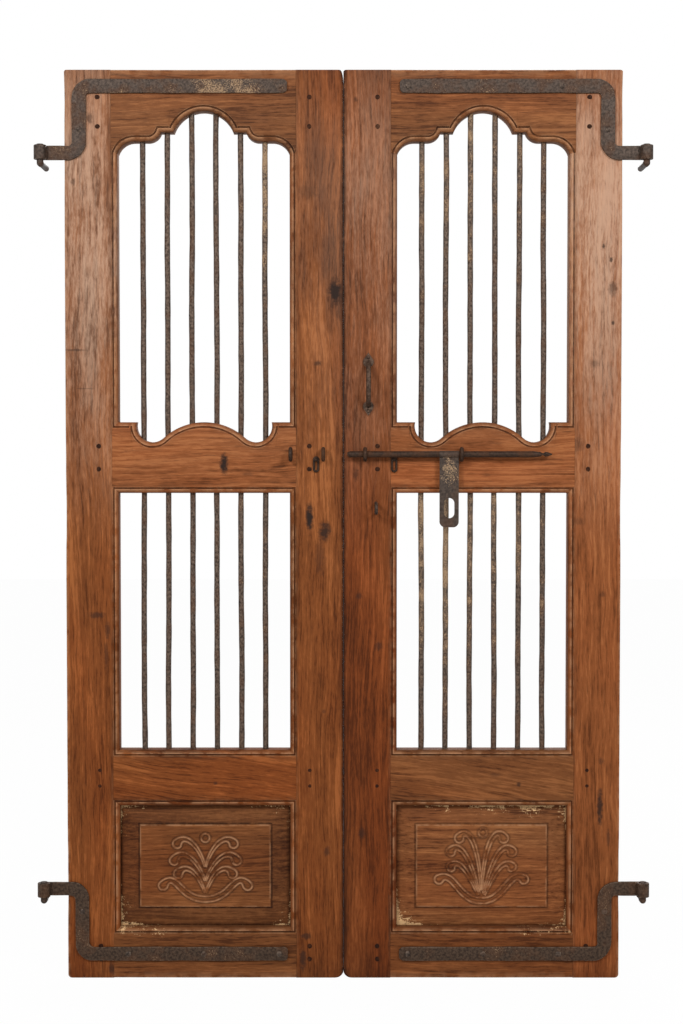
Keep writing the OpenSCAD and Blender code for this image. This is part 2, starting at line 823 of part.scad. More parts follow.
module handle_foot() {
    difference() {
        rotate([90, 0, 0]) linear_extrude(foot_t) union() {
            circle(r = foot_r);
            polygon([[-foot_r * 0.8, foot_r * 0.6], [foot_r * 0.8, foot_r * 0.6], [0, foot_tip]]);
        }
        translate([0, 1, handle_nail_out]) rotate([90, 0, 0])
            cylinder(h = foot_t + 2, d = handle_nail_d + 2 * hole_play);
    }
}

module pull_handle() {
    color(iron) translate([handle_x, front_y, handle_z]) {
        for (s = [0, 1]) {
            mirror([0, 0, s]) translate([0, 0, handle_span / 2]) handle_foot();
        }
        intersection() {
            translate([0, bow_r - handle_out, 0]) rotate([0, 90, 0]) rotate_extrude()
                translate([bow_r, 0]) circle(d = handle_d);
            translate([-handle_d, -handle_out - handle_d - foot_t, -handle_span])
                cube([2 * handle_d, handle_out + handle_d + foot_t, 2 * handle_span]);
        }
    }
}

module handle_nails() {
    color(iron)
        for (s = [-1, 1]) {
            translate([handle_x, front_y - foot_t, handle_z + s * (handle_span / 2 + handle_nail_out)])
                nail(handle_nail_d, handle_nail_depth + foot_t, handle_nail_d * 2, nail_head_h);
        }
}

// Slide bolt: a round bar with a turned finial, necked where the hasp turns on it
module slide_bolt() {
    r = bolt_d / 2;
    neck_l = hasp_w + 2 * turn_play;
    neck_x = hasp_on_bolt - neck_l / 2;
    profile = [
        [0, 0], [r * 0.6, 0], [r, 5], [r, neck_x], [neck_d / 2, neck_x], [neck_d / 2, neck_x + neck_l],
        [r, neck_x + neck_l], [r, bolt_l - 16], [r * 0.75, bolt_l], [r * 0.4, bolt_l + 3], [r * 0.4, bolt_l + 6],
        [r * 0.8, bolt_l + 10], [r * 0.7, bolt_l + 15], [r * 0.2, bolt_l + 24], [0, bolt_l + 24]
    ];
    color(brown_iron) translate([bolt_tip_x, bolt_y, bolt_z]) rotate([0, 90, 0]) rotate_extrude() polygon(profile);
}

// Hasp: a slotted plate whose top is rolled round the bolt's neck
module hasp() {
    corner_r = 12;
    eye_out_r = hasp_eye_r + hasp_eye_t;
    color(iron) translate([hasp_rest_x, bolt_y, bolt_z]) difference() {
        union() {
            rotate([0, 90, 0]) cylinder(h = hasp_w, r = eye_out_r, center = true);
            rotate([90, 0, 0]) linear_extrude(hasp_t, center = true) {
                translate([-hasp_w / 2, corner_r - hasp_l]) square([hasp_w, hasp_l - corner_r]);
                translate([corner_r - hasp_w / 2, -hasp_l]) square([hasp_w - 2 * corner_r, hasp_l]);
                for (s = [-1, 1]) {
                    translate([s * (hasp_w / 2 - corner_r), corner_r - hasp_l]) circle(r = corner_r);
                }
            }
        }
        rotate([0, 90, 0]) cylinder(h = hasp_w + 2, r = hasp_eye_r, center = true);
        translate([0, 0, -staple_drop]) rotate([90, 0, 0]) linear_extrude(2 * hasp_t, center = true) {
            square([slot_w, slot_h - slot_w], center = true);
            for (s = [-1, 1]) {
                translate([0, s * (slot_h - slot_w) / 2]) circle(d = slot_w);
            }
        }
    }
}

hinge_stile(LEFT);  // left_hinge_stile
meeting_stile(LEFT);  // left_meeting_stile
top_rail(LEFT);  // left_top_rail
middle_rail(LEFT);  // left_middle_rail
lock_rail(LEFT);  // left_lock_rail
bottom_rail(LEFT);  // left_bottom_rail
carved_panel(LEFT);  // left_carved_panel
upper_bars(LEFT);  // left_upper_bars
lower_bars(LEFT);  // left_lower_bars
tenon_pegs(LEFT);  // left_tenon_pegs
strap(LEFT, upper_eye_z, true);  // left_upper_strap
strap(LEFT, lower_eye_z, false);  // left_lower_strap
strap_nails(LEFT);  // left_strap_nails
bolt_rings(LEFT);  // left_bolt_rings
drop_link(LEFT);  // left_drop_link
hinge_stile(RIGHT);  // right_hinge_stile
meeting_stile(RIGHT);  // right_meeting_stile
top_rail(RIGHT);  // right_top_rail
middle_rail(RIGHT);  // right_middle_rail
lock_rail(RIGHT);  // right_lock_rail
bottom_rail(RIGHT);  // right_bottom_rail
carved_panel(RIGHT);  // right_carved_panel
upper_bars(RIGHT);  // right_upper_bars
lower_bars(RIGHT);  // right_lower_bars
tenon_pegs(RIGHT);  // right_tenon_pegs
strap(RIGHT, upper_eye_z, true);  // right_upper_strap
strap(RIGHT, lower_eye_z, false);  // right_lower_strap
strap_nails(RIGHT);  // right_strap_nails
bolt_rings(RIGHT);  // right_bolt_rings
drop_link(RIGHT);  // right_drop_link
lock_staple();
pull_handle();
handle_nails();
slide_bolt();
hasp();
pintle(LEFT, upper_eye_z);  // left_upper_pintle
pintle(LEFT, lower_eye_z);  // left_lower_pintle
pintle(RIGHT, upper_eye_z);  // right_upper_pintle
pintle(RIGHT, lower_eye_z);  // right_lower_pintle
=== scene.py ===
# %% [markdown]
# # An old carved double door
# The door has two joined timber leaves with iron bars, a cusped arch over each upper opening, a serpentine middle
# rail and a carved panel at the foot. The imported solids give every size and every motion. This lesson gives the
# door its looks: worn arrises, mouldings, carving, grain, rust and flakes of old paint.

import math

import bmesh
import bpy
import numpy as np
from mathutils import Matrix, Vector


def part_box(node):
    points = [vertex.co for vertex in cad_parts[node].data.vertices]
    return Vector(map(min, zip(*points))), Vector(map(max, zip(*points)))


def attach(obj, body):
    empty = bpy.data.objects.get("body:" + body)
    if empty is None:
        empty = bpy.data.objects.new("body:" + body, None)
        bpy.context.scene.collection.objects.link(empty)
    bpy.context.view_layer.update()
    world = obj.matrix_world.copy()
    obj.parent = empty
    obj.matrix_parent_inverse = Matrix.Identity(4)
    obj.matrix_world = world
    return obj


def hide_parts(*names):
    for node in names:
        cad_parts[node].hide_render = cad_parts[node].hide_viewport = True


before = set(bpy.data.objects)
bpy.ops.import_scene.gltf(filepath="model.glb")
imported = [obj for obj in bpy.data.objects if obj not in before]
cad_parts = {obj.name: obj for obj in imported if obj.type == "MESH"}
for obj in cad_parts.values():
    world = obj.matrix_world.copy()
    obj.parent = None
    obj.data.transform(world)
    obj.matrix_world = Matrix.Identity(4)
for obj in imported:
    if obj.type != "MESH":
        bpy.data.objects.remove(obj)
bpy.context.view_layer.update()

# %% [markdown]
# ## The door's own measures
# A joiner works from the leaf's width, the stile's width and the heights of the rails. They could be typed in once
# more, but two lists drift apart, so they are read from the boxes of the imported solids. A leaf is drawn once, with
# x counted from its hinge edge, and `on_leaf` puts it on the left or the right. The meeting edges are swollen a
# little and their faces in the gap carry painted shade, so that the line where the leaves meet stays dark, as it is
# on the real door.

# %% Measure the leaves
MM = 0.001
LEFT, RIGHT = -1, 1
SIDE_NAME = {LEFT: "left", RIGHT: "right"}
BODY = {LEFT: "left_leaf", RIGHT: "right_leaf"}

hinge_low, hinge_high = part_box("right_hinge_stile")
rail_low, rail_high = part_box("right_top_rail")
leaf_w = 2 * hinge_high.x - rail_low.x - rail_high.x
half_gap = hinge_high.x - leaf_w
edge_swell = 0.38 * MM
lip = half_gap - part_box("right_meeting_stile")[0].x + edge_swell
leaf_h = hinge_high.z
leaf_t = hinge_high.y - hinge_low.y
front, back = hinge_low.y, hinge_high.y
stile_w = hinge_high.x - hinge_low.x
mid_x = leaf_w / 2
half_open = mid_x - stile_w

panel_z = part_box("right_bottom_rail")[1].z
lock_z, lower_z = (corner.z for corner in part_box("right_lock_rail"))
middle_z, upper_z = (corner.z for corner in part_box("right_middle_rail"))
spring_z = rail_low.z


def on_leaf(points, side):
    """Leaf drawing to door: x is counted back from the far side of the leaf, and the left leaf is the mirror."""
    points = np.array(points, dtype=float)
    points[..., 0] = side * (half_gap + leaf_w - points[..., 0])
    return points


print("leaf:", round(leaf_w / MM), "by", round(leaf_h / MM), "by", round(leaf_t / MM), "mm")

# %% [markdown]
# ## Surfaces as arrays
# Almost every piece here is a grid of points: one direction runs round a section, the other along a path. Such a
# piece could be pushed into shape by hand in edit mode, or cut from a block with Booleans. Whole arrays are chosen
# because they keep a moulding exactly parallel to its edge. `make_piece` joins the grids of one piece, closes their
# ends, turns their faces outwards and hands the piece to the body that it moves with. Three numbers go with each
# point: how worn it is, how much dirt and painted shade it holds and how much paint is left there.

# %% Surfaces and pieces
# each point's wear, its dirt together with painted shade, and its paint
TRAITS = ("wear", "dirt_and_shade", "paint")
SHARP_ANGLE = math.radians(38)


def surface(grid, wear=0.0, dirt_and_shade=0.0, paint=0.0):
    """A grid of points whose rows close into a ring and whose first and last columns are closed by caps."""
    shape = grid.shape[:2]
    traits = {name: np.broadcast_to(value, shape) for name, value in zip(TRAITS, (wear, dirt_and_shade, paint))}
    return {"grid": grid, **traits}


def ring_faces(rows, columns, start):
    """Quads between neighbouring points of a grid that is closed round its rows, and one cap at each end."""
    i, j = np.meshgrid(np.arange(rows), np.arange(columns - 1), indexing="ij")
    after = (i + 1) % rows
    quads = np.stack([i * columns + j, after * columns + j, after * columns + j + 1, i * columns + j + 1], axis=-1)
    ends = [np.arange(rows) * columns, np.arange(rows) * columns + columns - 1]
    return [list(face) for face in (quads.reshape(-1, 4) + start).tolist()] + [(e + start).tolist() for e in ends]


def put_mesh(name, points, faces, traits):
    """A mesh of the points and faces, turned outwards, smooth except at sharp edges, with its traits."""
    mesh = bpy.data.meshes.new(name)
    mesh.from_pydata(points.tolist(), [], faces)
    work = bmesh.new()
    work.from_mesh(mesh)
    bmesh.ops.recalc_face_normals(work, faces=work.faces)
    work.to_mesh(mesh)
    work.free()
    mesh.shade_smooth()
    mesh.set_sharp_from_angle(angle=SHARP_ANGLE)
    for trait in TRAITS:
        layer = mesh.attributes.new(trait, "FLOAT", "POINT")
        layer.data.foreach_set("value", np.ascontiguousarray(traits[trait], dtype=np.float32))
    return mesh


def make_piece(name, surfaces, material, body, slot, *nodes):
    """One piece of several closed surfaces, which rides on a body and stands for the named solids."""
    points, faces, traits = [], [], {trait: [] for trait in TRAITS}
    start = 0
    for part in surfaces:
        rows, columns = part["grid"].shape[:2]
        points.append(part["grid"].reshape(-1, 3))
        faces += ring_faces(rows, columns, start)
        for trait in TRAITS:
            traits[trait].append(part[trait].reshape(-1))
        start += rows * columns
    mesh = put_mesh(name, np.vstack(points), faces, {t: np.concatenate(v) for t, v in traits.items()})
    return dress(name, mesh, material, body, slot, *nodes)


def dress(name, mesh, material, body, slot, *nodes):
    """An object of the mesh with its finish, on its body, in place of its solids."""
    piece = bpy.data.objects.new(name, mesh)
    bpy.context.scene.collection.objects.link(piece)
    mesh.materials.append(material)
    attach(piece, body)
    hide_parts(*nodes)
    return piece


def ripple(t, seed, count=5):
    """An uneven line: the mean of sines of growing frequency whose phases come from the seed, from about -1 to 1."""
    phases = np.random.default_rng(seed).uniform(0, 2 * np.pi, count)
    octaves = 1.7 ** np.arange(count)
    waves = np.sin(np.multiply.outer(t, octaves) + phases) / octaves
    return waves.sum(axis=-1) / (1 / octaves).sum() * 1.6


print("tools ready")

# %% [markdown]
# ## A kit for finishes
# A finish is a chain of shader nodes, which most people lay out by hand in the shader editor. In a script that
# takes three lines a node, so `Sheet` adds a node and links it in one: a value given for a socket is either a
# number or another node's output. Effects that several finishes share become node groups.

# %% Node sheet
MIX_A, MIX_B, MIX_OUT = 6, 7, 2


class Sheet:
    """Adds nodes to one tree; an input is a plain value or the output of another node."""

    def __init__(self, tree):
        self.tree = tree

    def add(self, kind, inputs=(), **settings):
        """A new node of a kind, with its settings and what its inputs take."""
        node = self.tree.nodes.new(kind)
        for key, value in settings.items():
            setattr(node, key, value)
        for key, value in dict(inputs).items():
            self.feed(node.inputs[key], value)
        return node

    def feed(self, socket, value):
        """Links an output to the socket, or writes a plain value into it."""
        if isinstance(value, bpy.types.NodeSocket):
            self.tree.links.new(value, socket)
        else:
            socket.default_value = value

    def math(self, operation, a, b=0.0, clamp=False):
        """One sum, product or other operation on two values."""
        return self.add("ShaderNodeMath", {0: a, 1: b}, operation=operation, use_clamp=clamp).outputs[0]

    def span(self, value, low, high, to_low=0.0, to_high=1.0):
        """A value between low and high, eased, as a number between to_low and to_high."""
        inputs = {"Value": value, "From Min": low, "From Max": high, "To Min": to_low, "To Max": to_high}
        return self.add("ShaderNodeMapRange", inputs, interpolation_type="SMOOTHSTEP").outputs[0]

    def noise(self, vector, scale, detail=3.0, rough=0.55):
        """Soft noise about one half, with so many cells a metre."""
        inputs = {"Vector": vector, "Scale": scale, "Detail": detail, "Roughness": rough}
        return self.add("ShaderNodeTexNoise", inputs).outputs[0]

    def stretch(self, vector, scale):
        """A place times a scale for each axis, so that noise read there is drawn out along the smallest."""
        return self.add("ShaderNodeVectorMath", {0: vector, 1: scale}, operation="MULTIPLY").outputs[0]

    def weigh(self, *pairs):
        """The sum of values, each times its weight."""
        total = 0.0
        for weight, value in pairs:
            total = self.math("ADD", self.math("MULTIPLY", value, weight), total)
        return total

    def mix(self, factor, a, b, blend="MIX"):
        """Colour a, with colour b blended over it by the factor."""
        node = self.add("ShaderNodeMix", data_type="RGBA", blend_type=blend)
        self.feed(node.inputs[0], factor)
        self.feed(node.inputs[MIX_A], a)
        self.feed(node.inputs[MIX_B], b)
        return node.outputs[MIX_OUT]


def new_group(name, inputs, outputs):
    """An empty node group with the named sockets, and a sheet to draw in it."""
    group = bpy.data.node_groups.new(name, "ShaderNodeTree")
    for direction, sockets in (("INPUT", inputs), ("OUTPUT", outputs)):
        for socket, kind in sockets.items():
            group.interface.new_socket(socket, in_out=direction, socket_type="NodeSocket" + kind)
    sheet = Sheet(group)
    return group, sheet, sheet.add("NodeGroupInput").outputs, sheet.add("NodeGroupOutput").inputs


def rgb(red, green, blue):
    """A colour as seen on a screen, 0 to 255, as the shader's linear red, green, blue and alpha."""
    seen = np.array([red, green, blue]) / 255
    linear = np.where(seen <= 0.04045, seen / 12.92, ((seen + 0.055) / 1.055) ** 2.4)
    return (*linear.tolist(), 1.0)


print("node sheet ready")

# %% [markdown]
# ## Aged timber
# The leaves are an open-grained red-brown hardwood that has been oiled, rubbed and knocked for generations. A
# picture of timber could be wrapped round them, but it would bring its own light and repeat itself, so the figure
# is worked out. A board is cut from a log, so it shows growth rings: the group measures the distance from a heart
# line beside the board, bends it with noise and turns it into bands. Streaks, fibres and pores drawn out along the
# grain lie over it, and then stains and a painted sheen: a pale veil on the upper part, in place of the lamps'
# reflection. Worn arrises are paler, hollows are dark with dirt and painted shade, and old paint shows as cream
# flakes.

# %% Timber group
def build_timber_group():
    """Grain runs along the vector's Z; Heart says where the log's middle lies beside the board, Up how high it is."""
    inputs = {"Vector": "Vector", "Heart": "Vector", "Up": "Float", "Light": "Color", "Middle": "Color",
              "Dark": "Color", "Stain": "Float", "Painted Sheen": "Float", "Wear": "Float", "Dirt_And_Shade": "Float", "Paint": "Float"}
    outputs = {"Color": "Color", "Roughness": "Float", "Height": "Float"}
    group, s, given, result = new_group("aged timber", inputs, outputs)
    place = given["Vector"]

    # the board's own place in its log, the rings and the noises drawn out along the grain
    seeded = s.add("ShaderNodeVectorMath", {0: place, 1: given["Heart"]}, operation="SUBTRACT").outputs[0]
    bend = s.noise(s.stretch(seeded, (6.0, 6.0, 1.5)), 1.0, 3.0)
    wander = s.add("ShaderNodeCombineXYZ", {0: s.math("MULTIPLY", s.math("SUBTRACT", bend, 0.5), 0.07)}).outputs[0]
    grain = s.add("ShaderNodeVectorMath", {0: seeded, 1: wander}, operation="ADD").outputs[0]
    axes = s.add("ShaderNodeSeparateXYZ", {0: grain}).outputs
    reach = s.math("SQRT", s.math("ADD", s.math("POWER", axes[0], 2.0), s.math("POWER", axes[1], 2.0)))
    ring = s.math("FRACT", s.math("MULTIPLY", reach, 82.0))
    rings = s.math("MULTIPLY", s.span(ring, 0.0, 0.8), s.span(ring, 1.0, 0.88))
    clear = s.span(s.noise(s.stretch(seeded, (9.0, 9.0, 2.5)), 1.0, 3.0), 0.45, 0.65)
    streak = s.noise(s.stretch(grain, (150.0, 150.0, 5.5)), 1.0, 6.0, 0.74)
    line = s.noise(s.stretch(grain, (310.0, 310.0, 14.0)), 1.0, 3.0, 0.65)
    pore = s.noise(s.stretch(seeded, (240.0, 240.0, 48.0)), 1.0, 4.0, 0.7)
    band = s.noise(s.stretch(grain, (26.0, 26.0, 1.0)), 1.0, 3.0, 0.55)
    cloud = s.noise(s.stretch(seeded, (11.0, 11.0, 4.5)), 1.0, 4.0, 0.6)
    fibre = s.noise(s.stretch(grain, (430.0, 430.0, 17.0)), 1.0, 3.0, 0.7)

    # tone from all of them, a ruddy drift, dark fibres and a darker foot, which is painted shade
    tone = s.weigh((0.27, streak), (0.22, line), (0.15, band), (0.20, cloud), (0.16, pore),
                   (0.05, s.math("MULTIPLY", rings, clear)))
    colour = s.mix(s.span(tone, 0.43, 0.51), given["Dark"], given["Middle"])
    colour = s.mix(s.span(tone, 0.51, 0.585), colour, given["Light"])
    ruddy = s.span(s.noise(s.stretch(seeded, (5.0, 5.0, 0.9)), 1.0, 3.0), 0.42, 0.62)
    colour = s.mix(s.math("MULTIPLY", ruddy, 0.7), colour, (1.07, 0.90, 0.78, 1.0), "MULTIPLY")
    colour = s.mix(s.span(fibre, 0.43, 0.31, 0.0, 0.55), colour, rgb(54, 28, 15))
    # painted shade: the lower part of each board is darker and redder, where less light falls on the door
    foot = s.span(given["Up"], 1.25, 0.35)
    colour = s.mix(s.math("MULTIPLY", foot, 0.8), colour, (0.90, 0.84, 0.74, 1.0), "MULTIPLY")

    # stains, and a painted sheen: a pale veil on the upper part of a stile, standing in for the lamps' reflection
    blot = s.noise(s.stretch(seeded, (13.0, 13.0, 2.0)), 1.0, 5.0, 0.6)
    stain = s.math("MULTIPLY", s.span(blot, 0.55, 0.72), given["Stain"])
    colour = s.mix(stain, colour, (0.52, 0.48, 0.48, 1.0), "MULTIPLY")
    broad = s.noise(s.stretch(seeded, (10.0, 10.0, 2.2)), 1.0, 4.0, 0.6)
    drift = s.weigh((0.42, broad), (0.28, streak), (0.30, pore))
    level = s.math("MULTIPLY", s.span(given["Up"], 0.85, 1.55), s.span(given["Up"], 1.92, 1.66, 0.45, 1.0))
    painted_sheen_mask = s.math("MULTIPLY", level, s.span(drift, 0.42, 0.60, 0.14, 1.0))
    colour = s.mix(s.math("MULTIPLY", painted_sheen_mask, given["Painted Sheen"]), colour, rgb(204, 169, 143))

    # dirt in hollows, painted shade in creases and in the gap between the leaves, rubbed arrises and flakes of paint
    fleck = s.noise(place, 95.0, 4.0, 0.65)
    dirt_and_shade = s.math("MULTIPLY", given["Dirt_And_Shade"], s.span(fleck, 0.25, 0.6, 0.5, 0.95))
    colour = s.mix(dirt_and_shade, colour, rgb(36, 20, 14))
    rub = s.math("MULTIPLY", given["Wear"], s.span(s.noise(place, 42.0, 4.0, 0.6), 0.36, 0.60))
    colour = s.mix(s.math("MULTIPLY", rub, 0.8), colour, rgb(192, 144, 106))
    flake = s.weigh((0.35, s.noise(place, 320.0, 4.0, 0.7)), (0.35, pore), (0.3, s.noise(place, 70.0, 4.0, 0.65)))
    edge = s.math("SUBTRACT", 0.68, s.math("MULTIPLY", given["Paint"], 0.205))
    paint = s.span(s.math("SUBTRACT", flake, edge), 0.0, 0.05)
    colour = s.mix(s.math("MULTIPLY", paint, 0.78), colour, rgb(238, 197, 144))

    s.feed(result["Color"], colour)
    s.feed(result["Roughness"], s.weigh((0.22, fibre), (0.2, dirt_and_shade), (0.2, cloud), (1.0, 0.34)))
    split = s.noise(s.stretch(grain, (190.0, 190.0, 3.4)), 1.0, 2.0, 0.5)
    s.feed(result["Height"], s.weigh((0.5, fibre), (0.5, line), (0.4, streak), (0.35, paint),
                                     (-0.9, s.span(split, 0.335, 0.29))))
    return group


timber_group = build_timber_group()
print("timber group:", len(timber_group.nodes), "nodes")

# %% [markdown]
# ## Knots and scars
# A knot, a nail hole or a scar sits at one known place on its board, and noise alone would put it anywhere. It
# could be painted on a mask by hand. Here it is a blot round a centre with a ragged edge, built once as a group,
# because the same blot then serves for every mark on the timber and for the patch of limewash on the hasp.

# %% Mark group
def build_mark_group():
    """A blot with a ragged edge: the distance from its centre, counted in half-widths and roughened by noise."""
    inputs = {"Vector": "Vector", "Centre": "Vector", "Reach": "Vector", "Amount": "Float"}
    group, s, given, result = new_group("dark mark", inputs, {"Mask": "Float"})
    away = s.add("ShaderNodeVectorMath", {0: given["Vector"], 1: given["Centre"]}, operation="SUBTRACT").outputs[0]
    scaled = s.add("ShaderNodeVectorMath", {0: away, 1: given["Reach"]}, operation="DIVIDE").outputs[0]
    length = s.add("ShaderNodeVectorMath", {0: scaled}, operation="LENGTH").outputs["Value"]
    ragged = s.weigh((1.0, length), (1.7, s.noise(given["Vector"], 110.0, 5.0, 0.7)), (1.0, -0.85))
    s.feed(result["Mask"], s.math("MULTIPLY", s.span(ragged, 1.15, 0.3), given["Amount"]))
    return group


mark_group = build_mark_group()
THROUGH = 10.0


def add_mark(s, place, mark):
    """The mask of one mark: its x and z, its half-width and half-height in millimetres and its amount. It goes right
    through the board."""
    x, z, half_w, half_h, amount = mark
    node = s.add("ShaderNodeGroup", node_tree=mark_group)
    s.feed(node.inputs["Vector"], place)
    s.feed(node.inputs["Centre"], (x * MM, 0.0, z * MM))
    s.feed(node.inputs["Reach"], (half_w * MM, THROUGH, half_h * MM))
    s.feed(node.inputs["Amount"], amount)
    return node.outputs["Mask"]


print("mark group:", len(mark_group.nodes), "nodes")

# %% [markdown]
# ## Finishes of the boards
# Each board came from its own log, so each gets its own heart line and tone. One finish for the whole door would be
# less work, but its grain would run on from board to board. A rail's grain lies flat, so a Mapping node turns the
# pattern by a quarter before the group sees it.

# %% Timber finishes
ALONG_X = (0.0, math.radians(90), 0.0)
SLANTING = (0.0, math.radians(82), 0.0)
UPRIGHT = (0.0, 0.0, 0.0)
TONES = {
    "golden": (rgb(163, 101, 60), rgb(138, 80, 44), rgb(100, 55, 27)),
    "warm": (rgb(158, 95, 52), rgb(127, 72, 36), rgb(88, 46, 20)),
    "red": (rgb(144, 82, 44), rgb(115, 62, 30), rgb(78, 40, 18)),
    "dark": (rgb(134, 84, 50), rgb(106, 62, 35), rgb(68, 38, 21)),
    "brown": (rgb(146, 94, 57), rgb(119, 73, 42), rgb(78, 44, 24)),
    "dusty": (rgb(160, 107, 68), rgb(131, 83, 51), rgb(86, 50, 29)),
}
SHEEN = 0.08
GRAIN_STRENGTH, GRAIN_DEPTH = 0.55, 0.6 * MM
SCAR_BROWN, SCAR_DEPTH = rgb(44, 32, 27), 0.8


def trait_outputs(s):
    """The outputs that read a piece's own wear, dirt and paint."""
    return {trait.title(): s.add("ShaderNodeAttribute", attribute_name=trait).outputs["Fac"] for trait in TRAITS}


def new_finish(name):
    """A material with its nodes on, its sheet and its Principled shader."""
    material = bpy.data.materials.new(name)
    material.use_nodes = True
    shader = material.node_tree.nodes["Principled BSDF"]
    return material, Sheet(material.node_tree), shader


def timber(name, tone, seed, turn=UPRIGHT, stain=0.6, painted_sheen=0.2, marks=()):
    """Aged timber of one board: its tone, its own heart line, the way its grain runs and its knots and scars.
    A mark is its x and z, its half-width and half-height in millimetres and how dark it is."""
    material, s, shader = new_finish(name)
    light, middle, dark = TONES[tone]
    draw = np.random.default_rng(seed)
    heart = (draw.uniform(-0.5, 0.5), draw.uniform(0.03, 0.12), draw.uniform(-4, 4))
    place = s.add("ShaderNodeTexCoord").outputs["Object"]
    turned = s.add("ShaderNodeMapping", {"Vector": place, "Rotation": turn}).outputs[0]
    up = s.add("ShaderNodeSeparateXYZ", {0: place}).outputs[2]
    # the sheen input is a painted sheen: a pale veil on the upper part of the board, in place of the lamps' reflection
    inputs = {"Vector": turned, "Heart": heart, "Up": up, "Light": light, "Middle": middle, "Dark": dark,
              "Stain": stain, "Painted Sheen": painted_sheen}
    board = s.add("ShaderNodeGroup", node_tree=timber_group)
    for key, value in {**inputs, **trait_outputs(s)}.items():
        s.feed(board.inputs[key], value)
    colour, height = board.outputs["Color"], board.outputs["Height"]
    for mark in marks:
        mask = add_mark(s, place, mark)
        colour = s.mix(mask, colour, SCAR_BROWN)
        height = s.math("SUBTRACT", height, s.math("MULTIPLY", mask, SCAR_DEPTH))
    bump = s.add("ShaderNodeBump", {"Height": height, "Strength": GRAIN_STRENGTH, "Distance": GRAIN_DEPTH})
    s.feed(shader.inputs["Base Color"], colour)
    s.feed(shader.inputs["Roughness"], board.outputs["Roughness"])
    s.feed(shader.inputs["Normal"], bump.outputs[0])
    shader.inputs["Specular IOR Level"].default_value = SHEEN
    return material


print("tones:", ", ".join(TONES))

# %% [markdown]
# ## Aged iron
# The bars, straps and bolt are forged iron, brown-black with rust, pitted, and speckled with old limewash. One grey
# metal would look new, so the group mixes scale, rust, pits and wash, each from its own noise. Rust and wash aren't
# metal, so the same masks that colour them lower the metallic value.

# %% Iron group
def build_iron_group():
    """Dark scale with rust in patches, rubbed spots and specks of pale wash where paint is left."""
    inputs = {"Vector": "Vector", "Dark": "Color", "Light": "Color", "Rust": "Float", "Wear": "Float", "Paint": "Float"}
    outputs = {"Color": "Color", "Metallic": "Float", "Roughness": "Float", "Height": "Float"}
    group, s, given, result = new_group("aged iron", inputs, outputs)
    place = given["Vector"]
    patch = s.noise(place, 26.0, 5.0, 0.6)
    pit = s.noise(place, 520.0, 4.0, 0.7)
    scale = s.noise(place, 190.0, 5.0, 0.65)
    colour = s.mix(s.span(scale, 0.33, 0.67), given["Dark"], given["Light"])
    rust = s.math("MULTIPLY", s.span(patch, 0.44, 0.64), given["Rust"])
    colour = s.mix(s.math("MULTIPLY", rust, 0.7), colour, rgb(104, 66, 42))
    colour = s.mix(s.span(pit, 0.44, 0.30, 0.0, 0.6), colour, rgb(30, 24, 20))
    grit = s.math("ADD", s.math("MULTIPLY", s.noise(place, 430.0, 4.0, 0.7), 0.6), s.math("MULTIPLY", patch, 0.4))
    edge = s.math("SUBTRACT", 0.665, s.math("MULTIPLY", given["Paint"], 0.21))
    wash = s.span(s.math("SUBTRACT", grit, edge), 0.0, 0.05)
    colour = s.mix(s.math("MULTIPLY", wash, 0.72), colour, rgb(178, 147, 113))
    rub = s.math("MULTIPLY", given["Wear"], s.span(scale, 0.4, 0.6))
    colour = s.mix(s.math("MULTIPLY", rub, 0.5), colour, rgb(128, 110, 94))
    s.feed(result["Color"], colour)
    bare = s.math("SUBTRACT", 0.40, s.math("ADD", s.math("MULTIPLY", rust, 0.3), wash), True)
    s.feed(result["Metallic"], bare)
    s.feed(result["Roughness"], s.span(s.math("ADD", pit, rust), 0.2, 1.2, 0.44, 0.8))
    s.feed(result["Height"], s.math("ADD", s.math("MULTIPLY", pit, 0.6), s.math("MULTIPLY", scale, 0.8)))
    return group


iron_group = build_iron_group()
IRON_SHEEN, PIT_STRENGTH = 0.2, 0.7


def iron(name, dark, light, rust, depth, patch=None):
    """Forged iron between two tones, with its own amount of rust, pitted to a depth in millimetres. A patch of wash
    is its x and z, its half-width and half-height in millimetres and its amount."""
    material, s, shader = new_finish(name)
    traits = trait_outputs(s)
    place = s.add("ShaderNodeTexCoord").outputs["Object"]
    wash = traits["Paint"]
    if patch:
        wash = add_mark(s, place, patch)
    inputs = {"Vector": place, "Dark": dark, "Light": light, "Rust": rust, "Wear": traits["Wear"], "Paint": wash}
    skin = s.add("ShaderNodeGroup", node_tree=iron_group)
    for key, value in inputs.items():
        s.feed(skin.inputs[key], value)
    relief = {"Height": skin.outputs["Height"], "Strength": PIT_STRENGTH, "Distance": depth * MM}
    bump = s.add("ShaderNodeBump", relief)
    for key in ("Color", "Metallic", "Roughness"):
        s.feed(shader.inputs["Base Color" if key == "Color" else key], skin.outputs[key])
    s.feed(shader.inputs["Normal"], bump.outputs[0])
    shader.inputs["Specular IOR Level"].default_value = IRON_SHEEN
    return material


strap_iron = iron("strap iron", rgb(48, 39, 33), rgb(78, 65, 57), 0.4, 0.6)
foot_strap_iron = iron("foot strap iron", rgb(45, 33, 25), rgb(75, 57, 44), 0.4, 0.6)
bar_iron = iron("bar iron", rgb(50, 39, 32), rgb(106, 89, 77), 0.45, 0.6)
bolt_iron = iron("bolt iron", rgb(36, 25, 18), rgb(66, 48, 37), 0.5, 0.3)
hasp_iron = iron("washed hasp iron", rgb(50, 42, 37), rgb(80, 68, 60), 0.3, 0.4, (220, 1066, 26, 42, 0.95))
handle_iron = iron("rubbed handle iron", rgb(42, 31, 24), rgb(96, 76, 62), 0.2, 0.2)
print("iron finishes: 6")

